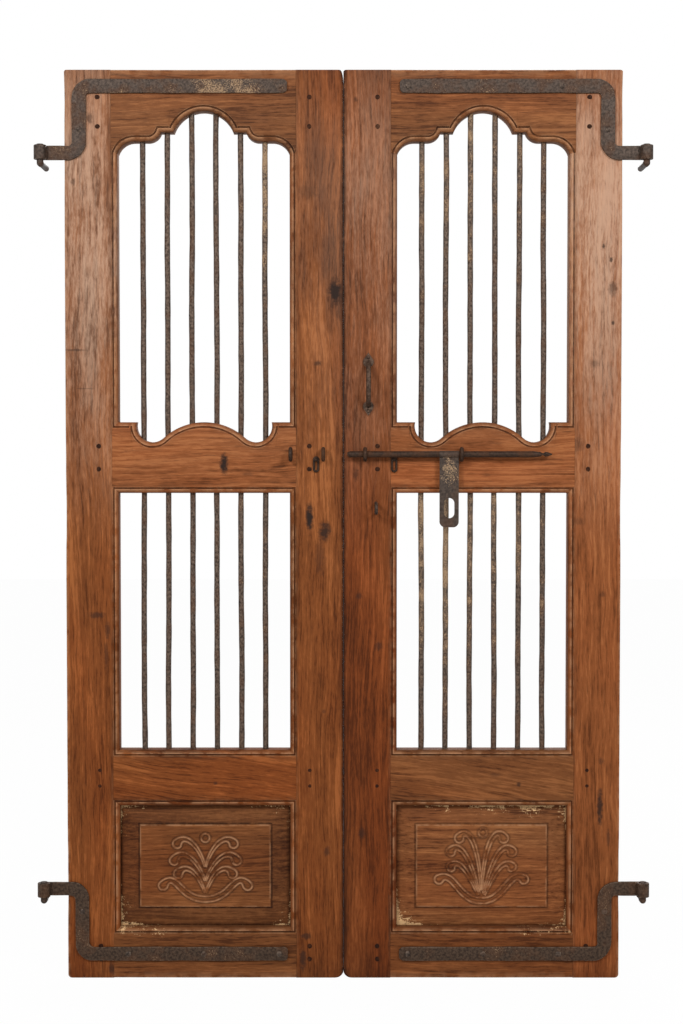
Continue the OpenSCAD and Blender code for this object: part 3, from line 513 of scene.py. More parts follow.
# %% [markdown]
# ## The moulded edge
# Every opening is framed by a stuck moulding: a quarter round, called an ovolo, and a small groove beside it,
# called a quirk. A Bevel modifier could round the edge, but it can't cut the quirk or the mitres. So the section is
# a list of steps into the wood and depths under the face, and `inset` moves an edge into the wood by any step. The
# section then follows straight edges, the arch and the serpentine alike, and meets the stiles in a mitre.

# %% Moulding section
mould_w = 12 * MM
shoulder = 13 * MM
ovolo_r = 8 * MM
fillet = 1.5 * MM
quirk = 3.2 * MM
arris = 2.2 * MM
meeting_arris = 3.4 * MM
shoulder_x = stile_w - shoulder
board_wave = 0.35 * MM
OVOLO_STEPS = 9


def moulding_section():
    """Steps into the wood, depths, wear and dirt, from the back of the leaf, round the ovolo, to the face."""
    turn = np.radians(np.linspace(0, 90, OVOLO_STEPS))
    back_part = [(shoulder, leaf_t), (arris, leaf_t), (0.3 * arris, leaf_t - 0.3 * arris), (0, leaf_t - arris),
                 (0, leaf_t / 2)]
    round_part = np.stack([ovolo_r * (1 - np.cos(turn)), ovolo_r - (ovolo_r - fillet) * np.sin(turn)], axis=1)
    quirk_part = [(8.3 * MM, 2.4 * MM), (8.9 * MM, quirk), (10.8 * MM, quirk), (11.5 * MM, 2.2 * MM),
                  (mould_w, 0.6 * MM), (12.5 * MM, 0.05 * MM), (shoulder, 0)]
    steps = np.vstack([back_part, round_part, quirk_part])
    turn_wear = 0.05 + 0.85 * np.linspace(0, 1, OVOLO_STEPS) ** 4
    wear = np.concatenate([[0, 0.3, 0.6, 0.3, 0.1], turn_wear, [0.1, 0, 0, 0.1, 0.8, 0.5, 0.05]])
    turn_dirt = np.linspace(0.45, 0.05, OVOLO_STEPS)
    dirt_and_shade = np.concatenate([[0, 0, 0, 0.1, 0.5], turn_dirt, [0.5, 0.75, 0.75, 0.5, 0, 0, 0.1]])
    return steps[:, 0], steps[:, 1], wear, dirt_and_shade


def plain_section(lip_w=0.0):
    """The same four columns for an outer edge with its arrises rubbed round, from the back to the face.
    A meeting edge has a lip at its front, bevelled away behind; there it carries painted shade and no wear, so the gap
    stays dark."""
    rim = meeting_arris if lip_w > 0 else arris
    steps = np.array([(arris, leaf_t), (0.3 * arris, leaf_t - 0.3 * arris), (0, leaf_t - arris), (0, leaf_t / 2),
                      (0, 13 * MM), (-lip_w, 5 * MM), (-lip_w, rim), (0.3 * rim - lip_w, 0.3 * rim),
                      (rim - lip_w, 0)])
    if lip_w > 0:
        # a meeting edge is not worn pale: its lip and arris in the gap get painted shade, so the line between the
        # leaves stays dark
        wear = np.array([0.3, 0.8, 0.4, 0.1, 0.0, 0.0, 0.0, 0.0, 0.0])
        dirt_and_shade = np.array([0, 0, 0, 0.6, 1.0, 1.0, 1.0, 1.0, 0.6])
    else:
        wear = np.array([0.3, 0.8, 0.4, 0.1, 0.0, 0.0, 0.4, 1.0, 0.3])
        dirt_and_shade = np.zeros(len(steps))
    return steps[:, 0], steps[:, 1], wear, dirt_and_shade


def inset(path, step, side):
    """The path moved into the wood above it (side 1) or below it (-1): each point goes along the sum of its two
    edges' normals, lengthened so that both edges move by the step. The ends are mitred against upright stiles."""
    along = np.diff(path, axis=0)
    along = along / np.linalg.norm(along, axis=1, keepdims=True)
    before = np.vstack([[0, side], along])
    after = np.vstack([along, [0, -side]])
    n1 = side * np.stack([-before[:, 1], before[:, 0]], axis=1)
    n2 = side * np.stack([-after[:, 1], after[:, 0]], axis=1)
    return path + step * (n1 + n2) / (1 + (n1 * n2).sum(axis=1, keepdims=True))


def settle(points):
    """Old boards aren't flat: a slow wave of a few tenths of a millimetre, the same for neighbouring pieces."""
    x, z = points[..., 0], points[..., 2]
    points[..., 1] += board_wave * (np.sin(17 * x + 5 * z) + np.sin(11 * z - 9 * x + 1.3))
    return points


print("moulding:", len(moulding_section()[0]), "points in the section")

# %% [markdown]
# ## Arch and serpentine
# The arch rises from the stiles in a small lobe, a hollow and a flat step to a round crown. The serpentine is a
# swell between two hollows. Both could be traced by eye as free curves, but a carver sets them out with compasses,
# so they are arcs of circles that meet. Each is half drawn, as a template would be, and mirrored about the
# opening's middle.

# %% Draw the two shaped edges
arch_rise, arch_step_h, arch_half_w, arch_step_w = 89 * MM, 45 * MM, 62 * MM, 89 * MM
lobe_h, lobe_run, rise_run = 26 * MM, 35 * MM, 27 * MM
hollow_h, hollow_x, hollow_r = 42 * MM, 108 * MM, 34 * MM


def arc(centre, radius, start, end, count):
    """Points on a circle: the centre plus the radius times the cosine and sine of angles in degrees."""
    angle = np.radians(np.linspace(start, end, count))
    return np.asarray(centre) + radius * np.stack([np.cos(angle), np.sin(angle)], axis=1)


def bow_radius(run, rise):
    """Radius of an arc that runs that far while it rises that much from level."""
    return (run * run + rise * rise) / (2 * rise)


def mirrored(half, level):
    """A half drawn from the left end to the middle, with its mirror, about the opening's middle at a level."""
    whole = np.vstack([half, half[-2::-1] * (-1, 1)])
    return whole + (mid_x, level)


def arch_path():
    """Three arcs, each of the radius that its run and rise give: the lobe, the hollow up to the step, and the crown."""
    rise_h, crown_h = arch_step_h - lobe_h, arch_rise - arch_step_h
    lobe_r, rise_r = bow_radius(lobe_run, lobe_h), bow_radius(rise_run, rise_h)
    crown_r = bow_radius(arch_half_w, crown_h)
    lobe_a = math.degrees(math.asin(lobe_run / lobe_r))
    rise_a = math.degrees(math.asin(rise_run / rise_r))
    crown_a = math.degrees(math.asin(arch_half_w / crown_r))
    half = np.vstack([
        arc((lobe_run - half_open, lobe_h - lobe_r), lobe_r, 90 + lobe_a, 90, 14),
        arc((-arch_step_w - rise_run, lobe_h + rise_r), rise_r, -90, rise_a - 90, 14),
        arc((0, arch_rise - crown_r), crown_r, 90 + crown_a, 90, 20),
    ])
    return mirrored(half, spring_z)


def serpentine_path():
    """A level end, a hollow of a given radius, and a swell whose radius makes it touch both hollows."""
    drop = hollow_r - hollow_h
    swell_r = (hollow_x ** 2 + drop ** 2 - hollow_r ** 2) / (2 * (hollow_r - drop))
    swell_a = math.degrees(math.atan2(hollow_x, swell_r + drop))
    start_a = 180 - math.degrees(math.asin(-drop / hollow_r))
    half = np.vstack([
        [(-half_open, 0)],
        [(-half_open * 0.5 - (hollow_x + hollow_r) * 0.5, 0)],
        arc((-hollow_x, drop), hollow_r, start_a, 270 + swell_a, 22),
        arc((0, -swell_r), swell_r, 90 + swell_a * 0.93, 90, 16),
    ])
    return mirrored(half, upper_z)


arch, serpentine = arch_path(), serpentine_path()
print("arch:", len(arch), "points, serpentine:", len(serpentine), "points")

# %% [markdown]
# ## Rails
# A rail ties the two stiles together, and its edges carry the moulding. It could be a box with the arch cut out of
# it, but the cut would leave ragged faces to mould. Here a rail is one closed ring of rows: up the lower edge's
# section, across the face, and down the upper edge's section to the back. Each row runs the rail's whole length, so
# a rail with a shaped edge is made just like a straight one.

# %% Rail surfaces
FACE_ROWS = 6
paint_run = 130 * MM


def straight(level, share):
    """A straight opening edge, cut at the same shares of its length as the shaped edge across the rail."""
    return np.stack([stile_w + share * (leaf_w - 2 * stile_w), np.full(len(share), level)], axis=1)


def moulded_rows(path, side):
    """Rows of points on a moulded edge, from the back to the face, with their wear and dirt."""
    steps, depths, wear, dirt_and_shade = moulding_section()
    flat = np.stack([inset(path, step, side) for step in steps])
    return with_depth(flat, depths), wear, dirt_and_shade


def plain_rows(level, share, side):
    """Rows of points on a square outer edge, from the back to the face, with their wear and dirt."""
    steps, depths, wear, dirt_and_shade = plain_section()
    x = shoulder_x + share * (leaf_w - 2 * shoulder_x)
    flat = np.stack([np.stack([x, np.full(len(x), level + side * step)], axis=1) for step in steps])
    return with_depth(flat, depths), wear, dirt_and_shade


def with_depth(flat, depths):
    """Rows in the leaf's plane set to their depths under the face."""
    y = np.broadcast_to(front + depths[:, None], flat.shape[:2])
    return np.stack([flat[..., 0], y, flat[..., 1]], axis=-1)


def rail_surface(lower, upper, paint=0.0):
    """Lower rows, the face between the two edges and the upper rows turned round, as one ring. Paint is left in the
    upper moulding, most of it near the hinge, in waves."""
    low_rows, low_wear, low_dirt = lower
    high_rows, high_wear, high_dirt = upper
    share = np.linspace(0, 1, FACE_ROWS + 2)[1:-1, None, None]
    face = low_rows[-1] * (1 - share) + high_rows[-1] * share
    blank = np.zeros(FACE_ROWS)
    grid = np.vstack([low_rows, face, high_rows[::-1]])
    wear = np.concatenate([low_wear, blank, high_wear[::-1]])[:, None]
    dirt_and_shade = np.concatenate([low_dirt, blank, high_dirt[::-1]])[:, None]
    x = high_rows[-1, :, 0]
    near_hinge = np.exp(-((x - stile_w) / paint_run) ** 2)
    left_over = paint * (near_hinge + 0.4 * np.maximum(ripple(x * 40, 9), 0))
    rows = np.concatenate([0 * low_dirt, blank, high_dirt[::-1] > 0])[:, None]
    return surface(settle(grid), wear, dirt_and_shade, rows * left_over)


def share_of(path):
    """Each point's share of the way along the opening; where the edge turns back on itself the share still grows."""
    run = np.cumsum(np.maximum(np.diff(path[:, 0], prepend=path[0, 0] - 1 * MM), 0.3 * MM))
    return (run - run[0]) / (run[-1] - run[0])


even = np.linspace(0, 1, 40)
rails = {
    "bottom_rail": rail_surface(plain_rows(0, even, 1), moulded_rows(straight(panel_z, even), -1), 0.75),
    "lock_rail": rail_surface(moulded_rows(straight(lock_z, even), 1), moulded_rows(straight(lower_z, even), -1)),
    "middle_rail": rail_surface(moulded_rows(straight(middle_z, share_of(serpentine)), 1),
                                moulded_rows(serpentine, -1)),
    "top_rail": rail_surface(moulded_rows(arch, 1), plain_rows(leaf_h, share_of(arch), -1)),
}
print("rows in a rail:", [len(part["grid"]) for part in rails.values()])

# %% [markdown]
# Both leaves have the same four rails, but no two boards look alike. Each gets its tone, the slant of its grain and
# its knots from these tables, and the left one is the mirror of the right one.

# %% Rails of both leaves
RAIL_TONES = {
    LEFT: {"bottom_rail": "brown", "lock_rail": "warm", "middle_rail": "golden", "top_rail": "brown"},
    RIGHT: {"bottom_rail": "brown", "lock_rail": "brown", "middle_rail": "golden", "top_rail": "brown"},
}
RAIL_MARKS = {
    (LEFT, "middle_rail"): [(-249, 1084, 11, 24, 1.0), (-200, 1062, 14, 5, 0.35)],
    (LEFT, "lock_rail"): [(-268, 412, 5, 5, 0.7)],
    (RIGHT, "lock_rail"): [(368, 409, 6, 6, 0.75), (317, 430, 16, 5, 0.35)],
    (RIGHT, "middle_rail"): [(300, 1060, 10, 4, 0.3)],
}
for side in (LEFT, RIGHT):
    for number, (rail, part) in enumerate(rails.items()):
        node = f"{SIDE_NAME[side]}_{rail}"
        turn = SLANTING if rail == "lock_rail" else ALONG_X
        # painted sheen: a faint pale veil on the rail's upper part, in place of the lamps' reflection
        painted_sheen = 0.03 if rail == "top_rail" else 0.08
        marks = RAIL_MARKS.get((side, rail), ())
        seed = 31 + 7 * number + side
        finish = timber(f"{node} timber", RAIL_TONES[side][rail], seed, turn, 0.5, painted_sheen, marks)
        placed = {**part, "grid": on_leaf(part["grid"], side)}
        make_piece(f"{node}_moulded", [placed], finish, BODY[side], "timber", node)
print("rails:", ", ".join(rails))

# %% [markdown]
# ## Stiles
# A stile is a long post whose inner edge carries the moulding only beside the openings. One section carried from
# foot to head would run the moulding through the rails. So a stile is made of a core and of moulded strips whose
# ends are cut to the same mitres as the rails. Feet and corners are rubbed round.

# %% Stile surfaces
foot_round = {"hinge_stile": 7 * MM, "meeting_stile": 15 * MM}
head_knock = {(LEFT, "meeting_stile"): (7 * MM, 30 * MM)}
rub_in = 7 * MM
FOOT_STEPS, LENGTH_STEPS, HEAD_STEPS, STRIP_STEPS = 9, 60, 8, 28


def core_surface(foot_r, head_w, head_h, lip_w):
    """A post whose section is a rounded rectangle; its outer edge draws in along a quarter circle at its foot and along
    a quarter ellipse, where the corner has been knocked off, at its head."""
    low = foot_r * (1 - np.cos(np.radians(np.linspace(0, 90, FOOT_STEPS))))
    high = leaf_h - head_h * (1 - np.cos(np.radians(np.linspace(90, 0, HEAD_STEPS))))
    z = np.concatenate([low, np.linspace(foot_r, leaf_h - head_h, LENGTH_STEPS)[1:-1], high])
    draw_in = np.zeros(len(z))
    draw_in[:FOOT_STEPS] = foot_r - np.sqrt(np.maximum(foot_r ** 2 - (foot_r - low) ** 2, 0))
    rise = (high - leaf_h + head_h) / head_h
    draw_in[-HEAD_STEPS:] = head_w * (1 - np.sqrt(np.maximum(1 - rise ** 2, 0)))
    outer = plain_section(lip_w)
    rub = np.maximum(ripple(z * 9, 5), 0) ** 2 * (1.2 if lip_w == 0 else 0.0) * MM
    inner = shoulder_x - np.array([rub_in, 0.5 * MM, 0, 0, 0.5 * MM, rub_in])
    steps = np.concatenate([outer[0], [rub_in], inner, [rub_in]])
    depths = np.concatenate([outer[1], [0, 0, 0, 0.5 * MM, leaf_t - 0.5 * MM, leaf_t, leaf_t, leaf_t]])
    wear = np.concatenate([outer[2], [0, 0, 0.1, 0, 0, 0, 0, 0]])
    dirt_and_shade = np.concatenate([outer[3], [0, 0, 0.25, 0.9, 0.9, 0.2, 0, 0]])
    moves = np.arange(len(steps)) < len(outer[0])
    x = steps[:, None] + moves[:, None] * (draw_in + rub)
    beside = [len(outer[0]), -1]
    x[beside] = np.maximum(x[beside], outer[0].max() + draw_in + rub + 0.5 * MM)
    grid = np.stack([x, np.broadcast_to(front + depths[:, None], x.shape), np.broadcast_to(z, x.shape)], axis=-1)
    # dirt along the edges, soil at the foot and the head, and the painted shade on a meeting edge's lip
    soil_and_shade = dirt_and_shade[:, None] + 0.45 * np.exp(-z / (45 * MM)) + 0.2 * np.exp(-(leaf_h - z) / (30 * MM))
    return surface(settle(grid), wear[:, None], np.clip(soil_and_shade, 0, 1))


def strip_surface(low, high, low_rise, high_rise):
    """The moulding beside one opening: its section carried up the stile, longer by the mitre the deeper it is."""
    steps, depths, wear, dirt_and_shade = moulding_section()
    share = np.linspace(0, 1, STRIP_STEPS)
    deep = (steps / shoulder)[:, None]
    z = (low - low_rise * deep) * (1 - share) + (high + high_rise * deep) * share
    x = np.broadcast_to(stile_w - steps[:, None], z.shape)
    grid = np.stack([x, np.broadcast_to(front + depths[:, None], z.shape), z], axis=-1)
    return surface(settle(grid), wear[:, None], dirt_and_shade[:, None])


springing_rise = inset(arch, shoulder, 1)[0, 1] - spring_z
print("the moulding climbs", round(springing_rise / MM, 1), "mm at the springing of the arch")

# %% [markdown]
# The upper part of the hinge stiles carries a painted sheen, a pale veil in place of the lamps' reflection, and the
# left meeting stile is stained, so each stile has its own tone, stain and painted sheen. The marks are its knots, nail
# holes and scars, placed where the real ones are.

# %% Stiles of both leaves
MARKS = {
    (LEFT, "hinge_stile"): [(-517, 766, 22, 8, 0.6), (-494, 736, 7, 20, 0.55), (-497, 682, 5, 36, 0.45),
                            (-488, 20, 8, 14, 0.7), (-527, 1800, 8, 16, 0.6), (-562, 1669, 6, 8, 0.5),
                            (-557, 1320, 26, 3, 0.55), (-540, 1240, 20, 2, 0.4)],
    (LEFT, "meeting_stile"): [(-18, 1442, 17, 32, 1.0), (-73, 1649, 25, 20, 0.4), (-53, 1292, 9, 7, 0.7),
                              (-71, 970, 10, 32, 1.0), (-39, 942, 15, 24, 0.9), (-50, 887, 14, 48, 0.35),
                              (-78, 88, 14, 9, 0.65), (-85, 40, 9, 30, 0.75), (-34, 267, 8, 12, 0.55),
                              (-41, 564, 5, 5, 0.4)],
    (RIGHT, "meeting_stile"): [(33, 807, 8, 8, 0.5), (74, 702, 10, 12, 0.55), (39, 307, 9, 14, 0.55),
                               (26, 1839, 5, 7, 0.6), (26, 1061, 6, 18, 0.55), (64, 1390, 10, 30, 0.25)],
    (RIGHT, "hinge_stile"): [(541, 1536, 4, 6, 0.8), (557, 1508, 4, 6, 0.8), (561, 1447, 12, 18, 0.6),
                             (561, 1376, 4, 6, 0.8), (524, 1292, 12, 10, 0.4), (490, 1124, 16, 20, 0.4),
                             (539, 362, 7, 44, 0.9), (541, 459, 6, 10, 0.45), (557, 297, 5, 20, 0.5),
                             (544, 810, 8, 8, 0.4), (492, 962, 14, 10, 0.35)],
}
# each stile's tone, stain and painted sheen, the pale veil on its upper part that stands in for the lamps' reflection
STILE_LOOKS = {
    (LEFT, "hinge_stile"): ("warm", 0.6, 0.66), (LEFT, "meeting_stile"): ("warm", 1.0, 0.10),
    (RIGHT, "hinge_stile"): ("golden", 0.6, 0.66), (RIGHT, "meeting_stile"): ("red", 0.6, 0.26),
}
for (side, stile), (tone, stain, painted_sheen) in STILE_LOOKS.items():
    node = f"{SIDE_NAME[side]}_{stile}"
    head_w, head_h = head_knock.get((side, stile), (4 * MM, 4 * MM))
    lip_w = lip if stile == "meeting_stile" else 0.0
    parts = [core_surface(foot_round[stile], head_w, head_h, lip_w),
             strip_surface(panel_z, lock_z, shoulder, shoulder),
             strip_surface(lower_z, middle_z, shoulder, shoulder),
             strip_surface(upper_z, spring_z, shoulder, springing_rise)]
    for part in parts:
        if stile == "meeting_stile":
            part["grid"][..., 0] = leaf_w - part["grid"][..., 0]
        part["grid"] = on_leaf(part["grid"], side)
    seed = 11 + 5 * side + len(stile)
    finish = timber(f"{node} timber", tone, seed, UPRIGHT, stain, painted_sheen, MARKS[side, stile])
    make_piece(f"{node}_moulded", parts, finish, BODY[side], "timber", node)
print("stiles:", len(STILE_LOOKS))

# %% [markdown]
# ## Carved panels
# Each panel is a board with a wide bevel that rises to a raised field, and on the field a plant is drawn in low
# ridges: fronds that curl over at their heads, a bud, and a ribbon below. It could be sculpted with a brush, but a
# drawn line is easier to correct. A frond is a cubic curve with a width, and its outline is what the carver left
# standing.

# %% Panel drawing
FRONDS = {
    LEFT: np.array([[(-1, 56), (-9, 88), (-36, 130), (-62, 107)], [(-1, 26), (-12, 60), (-43, 100), (-69, 71)],
                    [(-1, 1), (-14, 36), (-34, 66), (-60, 43)]]) * MM,
    RIGHT: np.array([[(-1, 12), (-3, 84), (-22, 156), (-50, 124)], [(-4, 5), (-18, 60), (-40, 122), (-67, 96)],
                     [(-7, 2), (-23, 36), (-42, 82), (-66, 64)]]) * MM,
}
RIBBON = {LEFT: np.array([(0, -14), (-58, -14), (-58, 48), (-92, 18)]) * MM,
          RIGHT: np.array([(0, -11), (-48, -14), (-56, 54), (-91, 38)]) * MM}
BUD = {LEFT: np.array((0, 116)) * MM, RIGHT: np.array((3, 133)) * MM}
bud_r = 9 * MM
frond_root_w, frond_body_w, ribbon_w = 2.6 * MM, 10.5 * MM, 12 * MM
head_swell, head_share = 8.5 * MM, 0.13
motif_drop = {LEFT: 57 * MM, RIGHT: 63 * MM}


def frond_outline(guide, root_w):
    """Two sides of a cubic curve, joined round its head. The width changes evenly along it, and near the head the lower
    side swells as a bell curve of the way that is left."""
    t = np.linspace(0, 1, 26)[:, None]
    left = 1 - t
    line = left ** 3 * guide[0] + 3 * t * left ** 2 * guide[1] + 3 * t * t * left * guide[2] + t ** 3 * guide[3]
    legs = np.diff(guide, axis=0)
    way = left ** 2 * legs[0] + 2 * t * left * legs[1] + t * t * legs[2]
    way = way / np.linalg.norm(way, axis=1, keepdims=True)
    aside = np.stack([-way[:, 1], way[:, 0]], axis=1)
    half_w = (root_w + (frond_body_w - root_w) * t) / 2
    upper = line - aside * half_w
    lower = line + aside * (half_w + head_swell * np.exp(-(left / head_share) ** 2))
    angle = math.degrees(math.atan2(way[-1, 1], way[-1, 0]))
    head = arc((upper[-1] + lower[-1]) / 2, np.linalg.norm(upper[-1] - lower[-1]) / 2, angle - 80, angle + 80, 9)
    return np.vstack([upper, head, lower[::-1]])


def motif_lines(side):
    """All the lines of one panel's plant, about the foot of its stem."""
    lines = []
    for guide in FRONDS[side]:
        outline = frond_outline(guide, frond_root_w)
        lines += [outline, outline * (-1, 1)]
    ribbon = frond_outline(RIBBON[side], ribbon_w)
    lines += [ribbon, ribbon * (-1, 1), arc(BUD[side], bud_r, 0, 360, 25)]
    return lines


def distance_to_lines(points, lines):
    """Least distance from each point to any stretch of any line: the foot of the perpendicular, kept on the stretch."""
    near = np.full(len(points), 1.0)
    for line in lines:
        for a, b in zip(line[:-1], line[1:]):
            along = b - a
            share = np.clip((points - a) @ along / (along @ along), 0, 1)
            gap = points - a - share[:, None] * along
            near = np.minimum(near, np.sqrt((gap * gap).sum(axis=1)))
    return near


print("lines in a panel:", len(motif_lines(LEFT)))

# %% [markdown]
# The board itself is a height over a grid: one rule for the bevel, from the distance to the frame, and one for the
# ridges, from the distance to the drawn lines. A Displace modifier could do the same from a texture, but not from
# distances, and the same distances say where the ridges are rubbed, where dirt and painted shade lie and where
# paint is left.

# %% Panel surfaces
bevel_w = 41 * MM
panel_edge_t = 10 * MM
tongue = 8.8 * MM
ridge_h, ridge_w, groove_d = 2.2 * MM, 3.7 * MM, 0.7 * MM
PANEL_COLUMNS, PANEL_ROWS = 340, 244
PAINT_CORNERS = {LEFT: {(0, 0): 1.0, (1, 0): 0.85, (0, 1): 0.85, (0.9, 1): 0.75},
                 RIGHT: {(1, 0): 1.35, (0, 0): 0.9, (0, 1): 1.0, (0.2, 1): 1.15, (0.45, 1): 1.1, (0.75, 1): 0.85}}
BEVEL_DIRT = {LEFT: 0.38, RIGHT: 0.10}
bevel_rule = np.array([(-tongue, 0), (0, 0), (1 * MM, 1 * MM), (bevel_w - 3 * MM, 7.2 * MM),
                       (bevel_w - 0.6 * MM, 7.2 * MM), (bevel_w + 1 * MM, 10.6 * MM), (bevel_w + 2.4 * MM, 11 * MM)])


def panel_height(x, z, side):
    """Height over the panel's edge: the bevel's rule of the distance to the frame, plus rounded ridges on the field."""
    margin = np.minimum(np.minimum(x - stile_w, leaf_w - stile_w - x), np.minimum(z - panel_z, lock_z - z))
    height = np.interp(margin, bevel_rule[:, 0], bevel_rule[:, 1])
    stem = np.array([mid_x, (panel_z + lock_z) / 2 - motif_drop[side]])
    flip = 1 if side == LEFT else -1
    drawn = (np.stack([x, z], axis=-1).reshape(-1, 2) - stem) * (flip, 1)
    gap = distance_to_lines(drawn, motif_lines(side)).reshape(x.shape)
    ridge = np.exp(-(gap / (0.46 * ridge_w)) ** 2)
    beside = np.exp(-((gap - 0.95 * ridge_w) / (0.45 * ridge_w)) ** 2)
    return height + ridge_h * ridge - groove_d * beside, margin, ridge, beside


def carved_panel(side):
    """The height grid, a rim down to the back and one flat back."""
    x, z = np.meshgrid(np.linspace(stile_w - tongue, leaf_w - stile_w + tongue, PANEL_COLUMNS),
                       np.linspace(panel_z - tongue, lock_z + tongue, PANEL_ROWS), indexing="ij")
    height, margin, ridge, beside = panel_height(x, z, side)
    top = np.stack([x, -height + 0.15 * MM * np.sin(240 * z + 9 * np.sin(21 * x)), z], axis=-1)
    count = PANEL_COLUMNS * PANEL_ROWS
    index = np.arange(count).reshape(PANEL_COLUMNS, PANEL_ROWS)
    quads = np.stack([index[:-1, :-1], index[1:, :-1], index[1:, 1:], index[:-1, 1:]], axis=-1).reshape(-1, 4)
    rim = np.concatenate([index[:-1, 0], index[-1, :-1], index[:0:-1, -1], index[0, :0:-1]])
    under = top.reshape(-1, 3)[rim] * (1, 0, 1) + (0, panel_edge_t, 0)
    lower = count + np.arange(len(rim))
    walls = np.stack([rim, lower, np.roll(lower, -1), np.roll(rim, -1)], axis=-1)
    points = on_leaf(np.vstack([top.reshape(-1, 3), under]), side)
    faces = quads.tolist() + walls.tolist() + [lower.tolist()]
    line = np.exp(-((margin - bevel_w - 1.2 * MM) / (1.3 * MM)) ** 2)
    across, up = (x - stile_w) / (leaf_w - 2 * stile_w), (z - panel_z) / (lock_z - panel_z)
    corner = np.zeros_like(x)
    for (cx, cz), amount in PAINT_CORNERS[side].items():
        away = np.hypot((across - cx) * 1.4, up - cz)
        corner = np.maximum(corner, amount * np.exp(-(away / 0.28) ** 2))
    corner = corner * np.exp(-np.maximum(margin, 0) / (36 * MM)) + 0.45 * np.exp(-np.maximum(margin, 0) / (3 * MM))
    # painted shade in the creases: along the frame and at the foot of the step up to the field
    crease_shade = np.exp(-((margin - bevel_w + 2.0 * MM) / (1.6 * MM)) ** 2) + np.exp(-margin / (2.5 * MM))
    slope = np.where(margin < bevel_w, BEVEL_DIRT[side], 0.0)
    # painted shade beside the ridges and in the creases, and dirt over the bevel
    traits = {"wear": np.clip(0.95 * ridge + 0.7 * line, 0, 1), "paint": np.clip(corner, 0, 1.3),
              "dirt_and_shade": np.clip(0.55 * beside + 0.7 * crease_shade + slope, 0, 1)}
    rest = np.zeros(len(rim))
    return points, faces, {trait: np.concatenate([traits[trait].reshape(-1), rest]) for trait in TRAITS}


for side, tone in ((LEFT, "brown"), (RIGHT, "dusty")):
    node = f"{SIDE_NAME[side]}_carved_panel"
    mesh = put_mesh(f"{node}_board", *carved_panel(side))
    finish = timber(f"{node} timber", tone, 71 + side, ALONG_X, 0.5)
    dress(f"{node}_board", mesh, finish, BODY[side], "panel_timber", node)
    print(node, len(mesh.polygons), "faces")

# %% [markdown]
# ## Iron bars
# The bars were hammered round and let into holes in the rails. A plain cylinder would look drawn in a mill, so each
# is a tube whose radius and middle line waver a little. The solids' boxes give how far the bars go into the rails.

# %% Bars
AROUND = np.linspace(0, 2 * np.pi, 17)[:-1]
BAR_STEPS = 70
bar_fullness = 1.08


def bar_surface(x, low, high, radius, seed, wash):
    """A tube: the radius and the middle line waver along its length, and old limewash is left on it."""
    z = np.linspace(low, high, BAR_STEPS)
    r = radius * (bar_fullness + 0.04 * ripple(z * 55, seed))
    middle = x + 0.8 * MM * ripple(z * 7, seed + 1)
    deep = 0.5 * MM * ripple(z * 8, seed + 2)
    angle = AROUND[:, None]
    x, y = middle + r * np.cos(angle), deep + r * np.sin(angle)
    grid = np.stack([x, y, np.broadcast_to(z, x.shape)], axis=-1)
    return surface(grid, 0.25, 0.0, wash * (0.6 + 0.4 * np.sin(5 * (high - z) + 1.2)))


WASH = {
    (LEFT, "upper_bars"): (0.2, 0.2, 0.4, 0.2, 0.5, 0.95), (LEFT, "lower_bars"): (0.2, 0.3, 0.3, 0.4, 0.5, 0.5),
    (RIGHT, "upper_bars"): (0.5, 0.65, 0.6, 0.8, 0.7, 0.75), (RIGHT, "lower_bars"): (0.6, 0.7, 0.75, 0.8, 0.95, 0.9),
}
BAR_COUNT, bar_pitch = 6, 51 * MM
for side in (LEFT, RIGHT):
    for level in ("upper_bars", "lower_bars"):
        node = f"{SIDE_NAME[side]}_{level}"
        low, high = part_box(node)
        radius = (high.y - low.y) / 2
        places = mid_x + (np.arange(BAR_COUNT) - (BAR_COUNT - 1) / 2) * bar_pitch
        tubes = [bar_surface(x, low.z, high.z, radius, 100 * (side + 2) + n, WASH[side, level][n])
                 for n, x in enumerate(places)]
        for tube in tubes:
            tube["grid"] = on_leaf(tube["grid"], side)
        make_piece(f"{node}_forged", tubes, bar_iron, BODY[side], "iron", node)
print("bars:", 4 * BAR_COUNT)

# %% [markdown]
# ## Strap hinges
# A strap is a flat bar that was rolled into an eye at one end and cranked twice, so that the eye stands clear of
# the leaf. A curve with a bevel could follow it, but its section would twist where the roll meets the flat. So a
# rounded rectangle is carried along a middle line that also says which way is thick and which way is wide.

# %% Straps
strap_w, strap_t = 30 * MM, 6 * MM
crank_x, crank_h, strap_reach = 31 * MM, 138 * MM, 463 * MM
eye_out, eye_r, bend_r = 48 * MM, 7.2 * MM, 8 * MM
end_r = 9 * MM
EYE_ROLL, EYE_STEPS, ARM_STEPS, BEND_STEPS, STUB_STEPS, END_STEPS = 292, 40, 44, 12, 6, 8
edge_ease = 1.6 * MM
upper_arm, lower_arm = leaf_h - 34 * MM, 52 * MM
eye_y = front - strap_t - eye_r


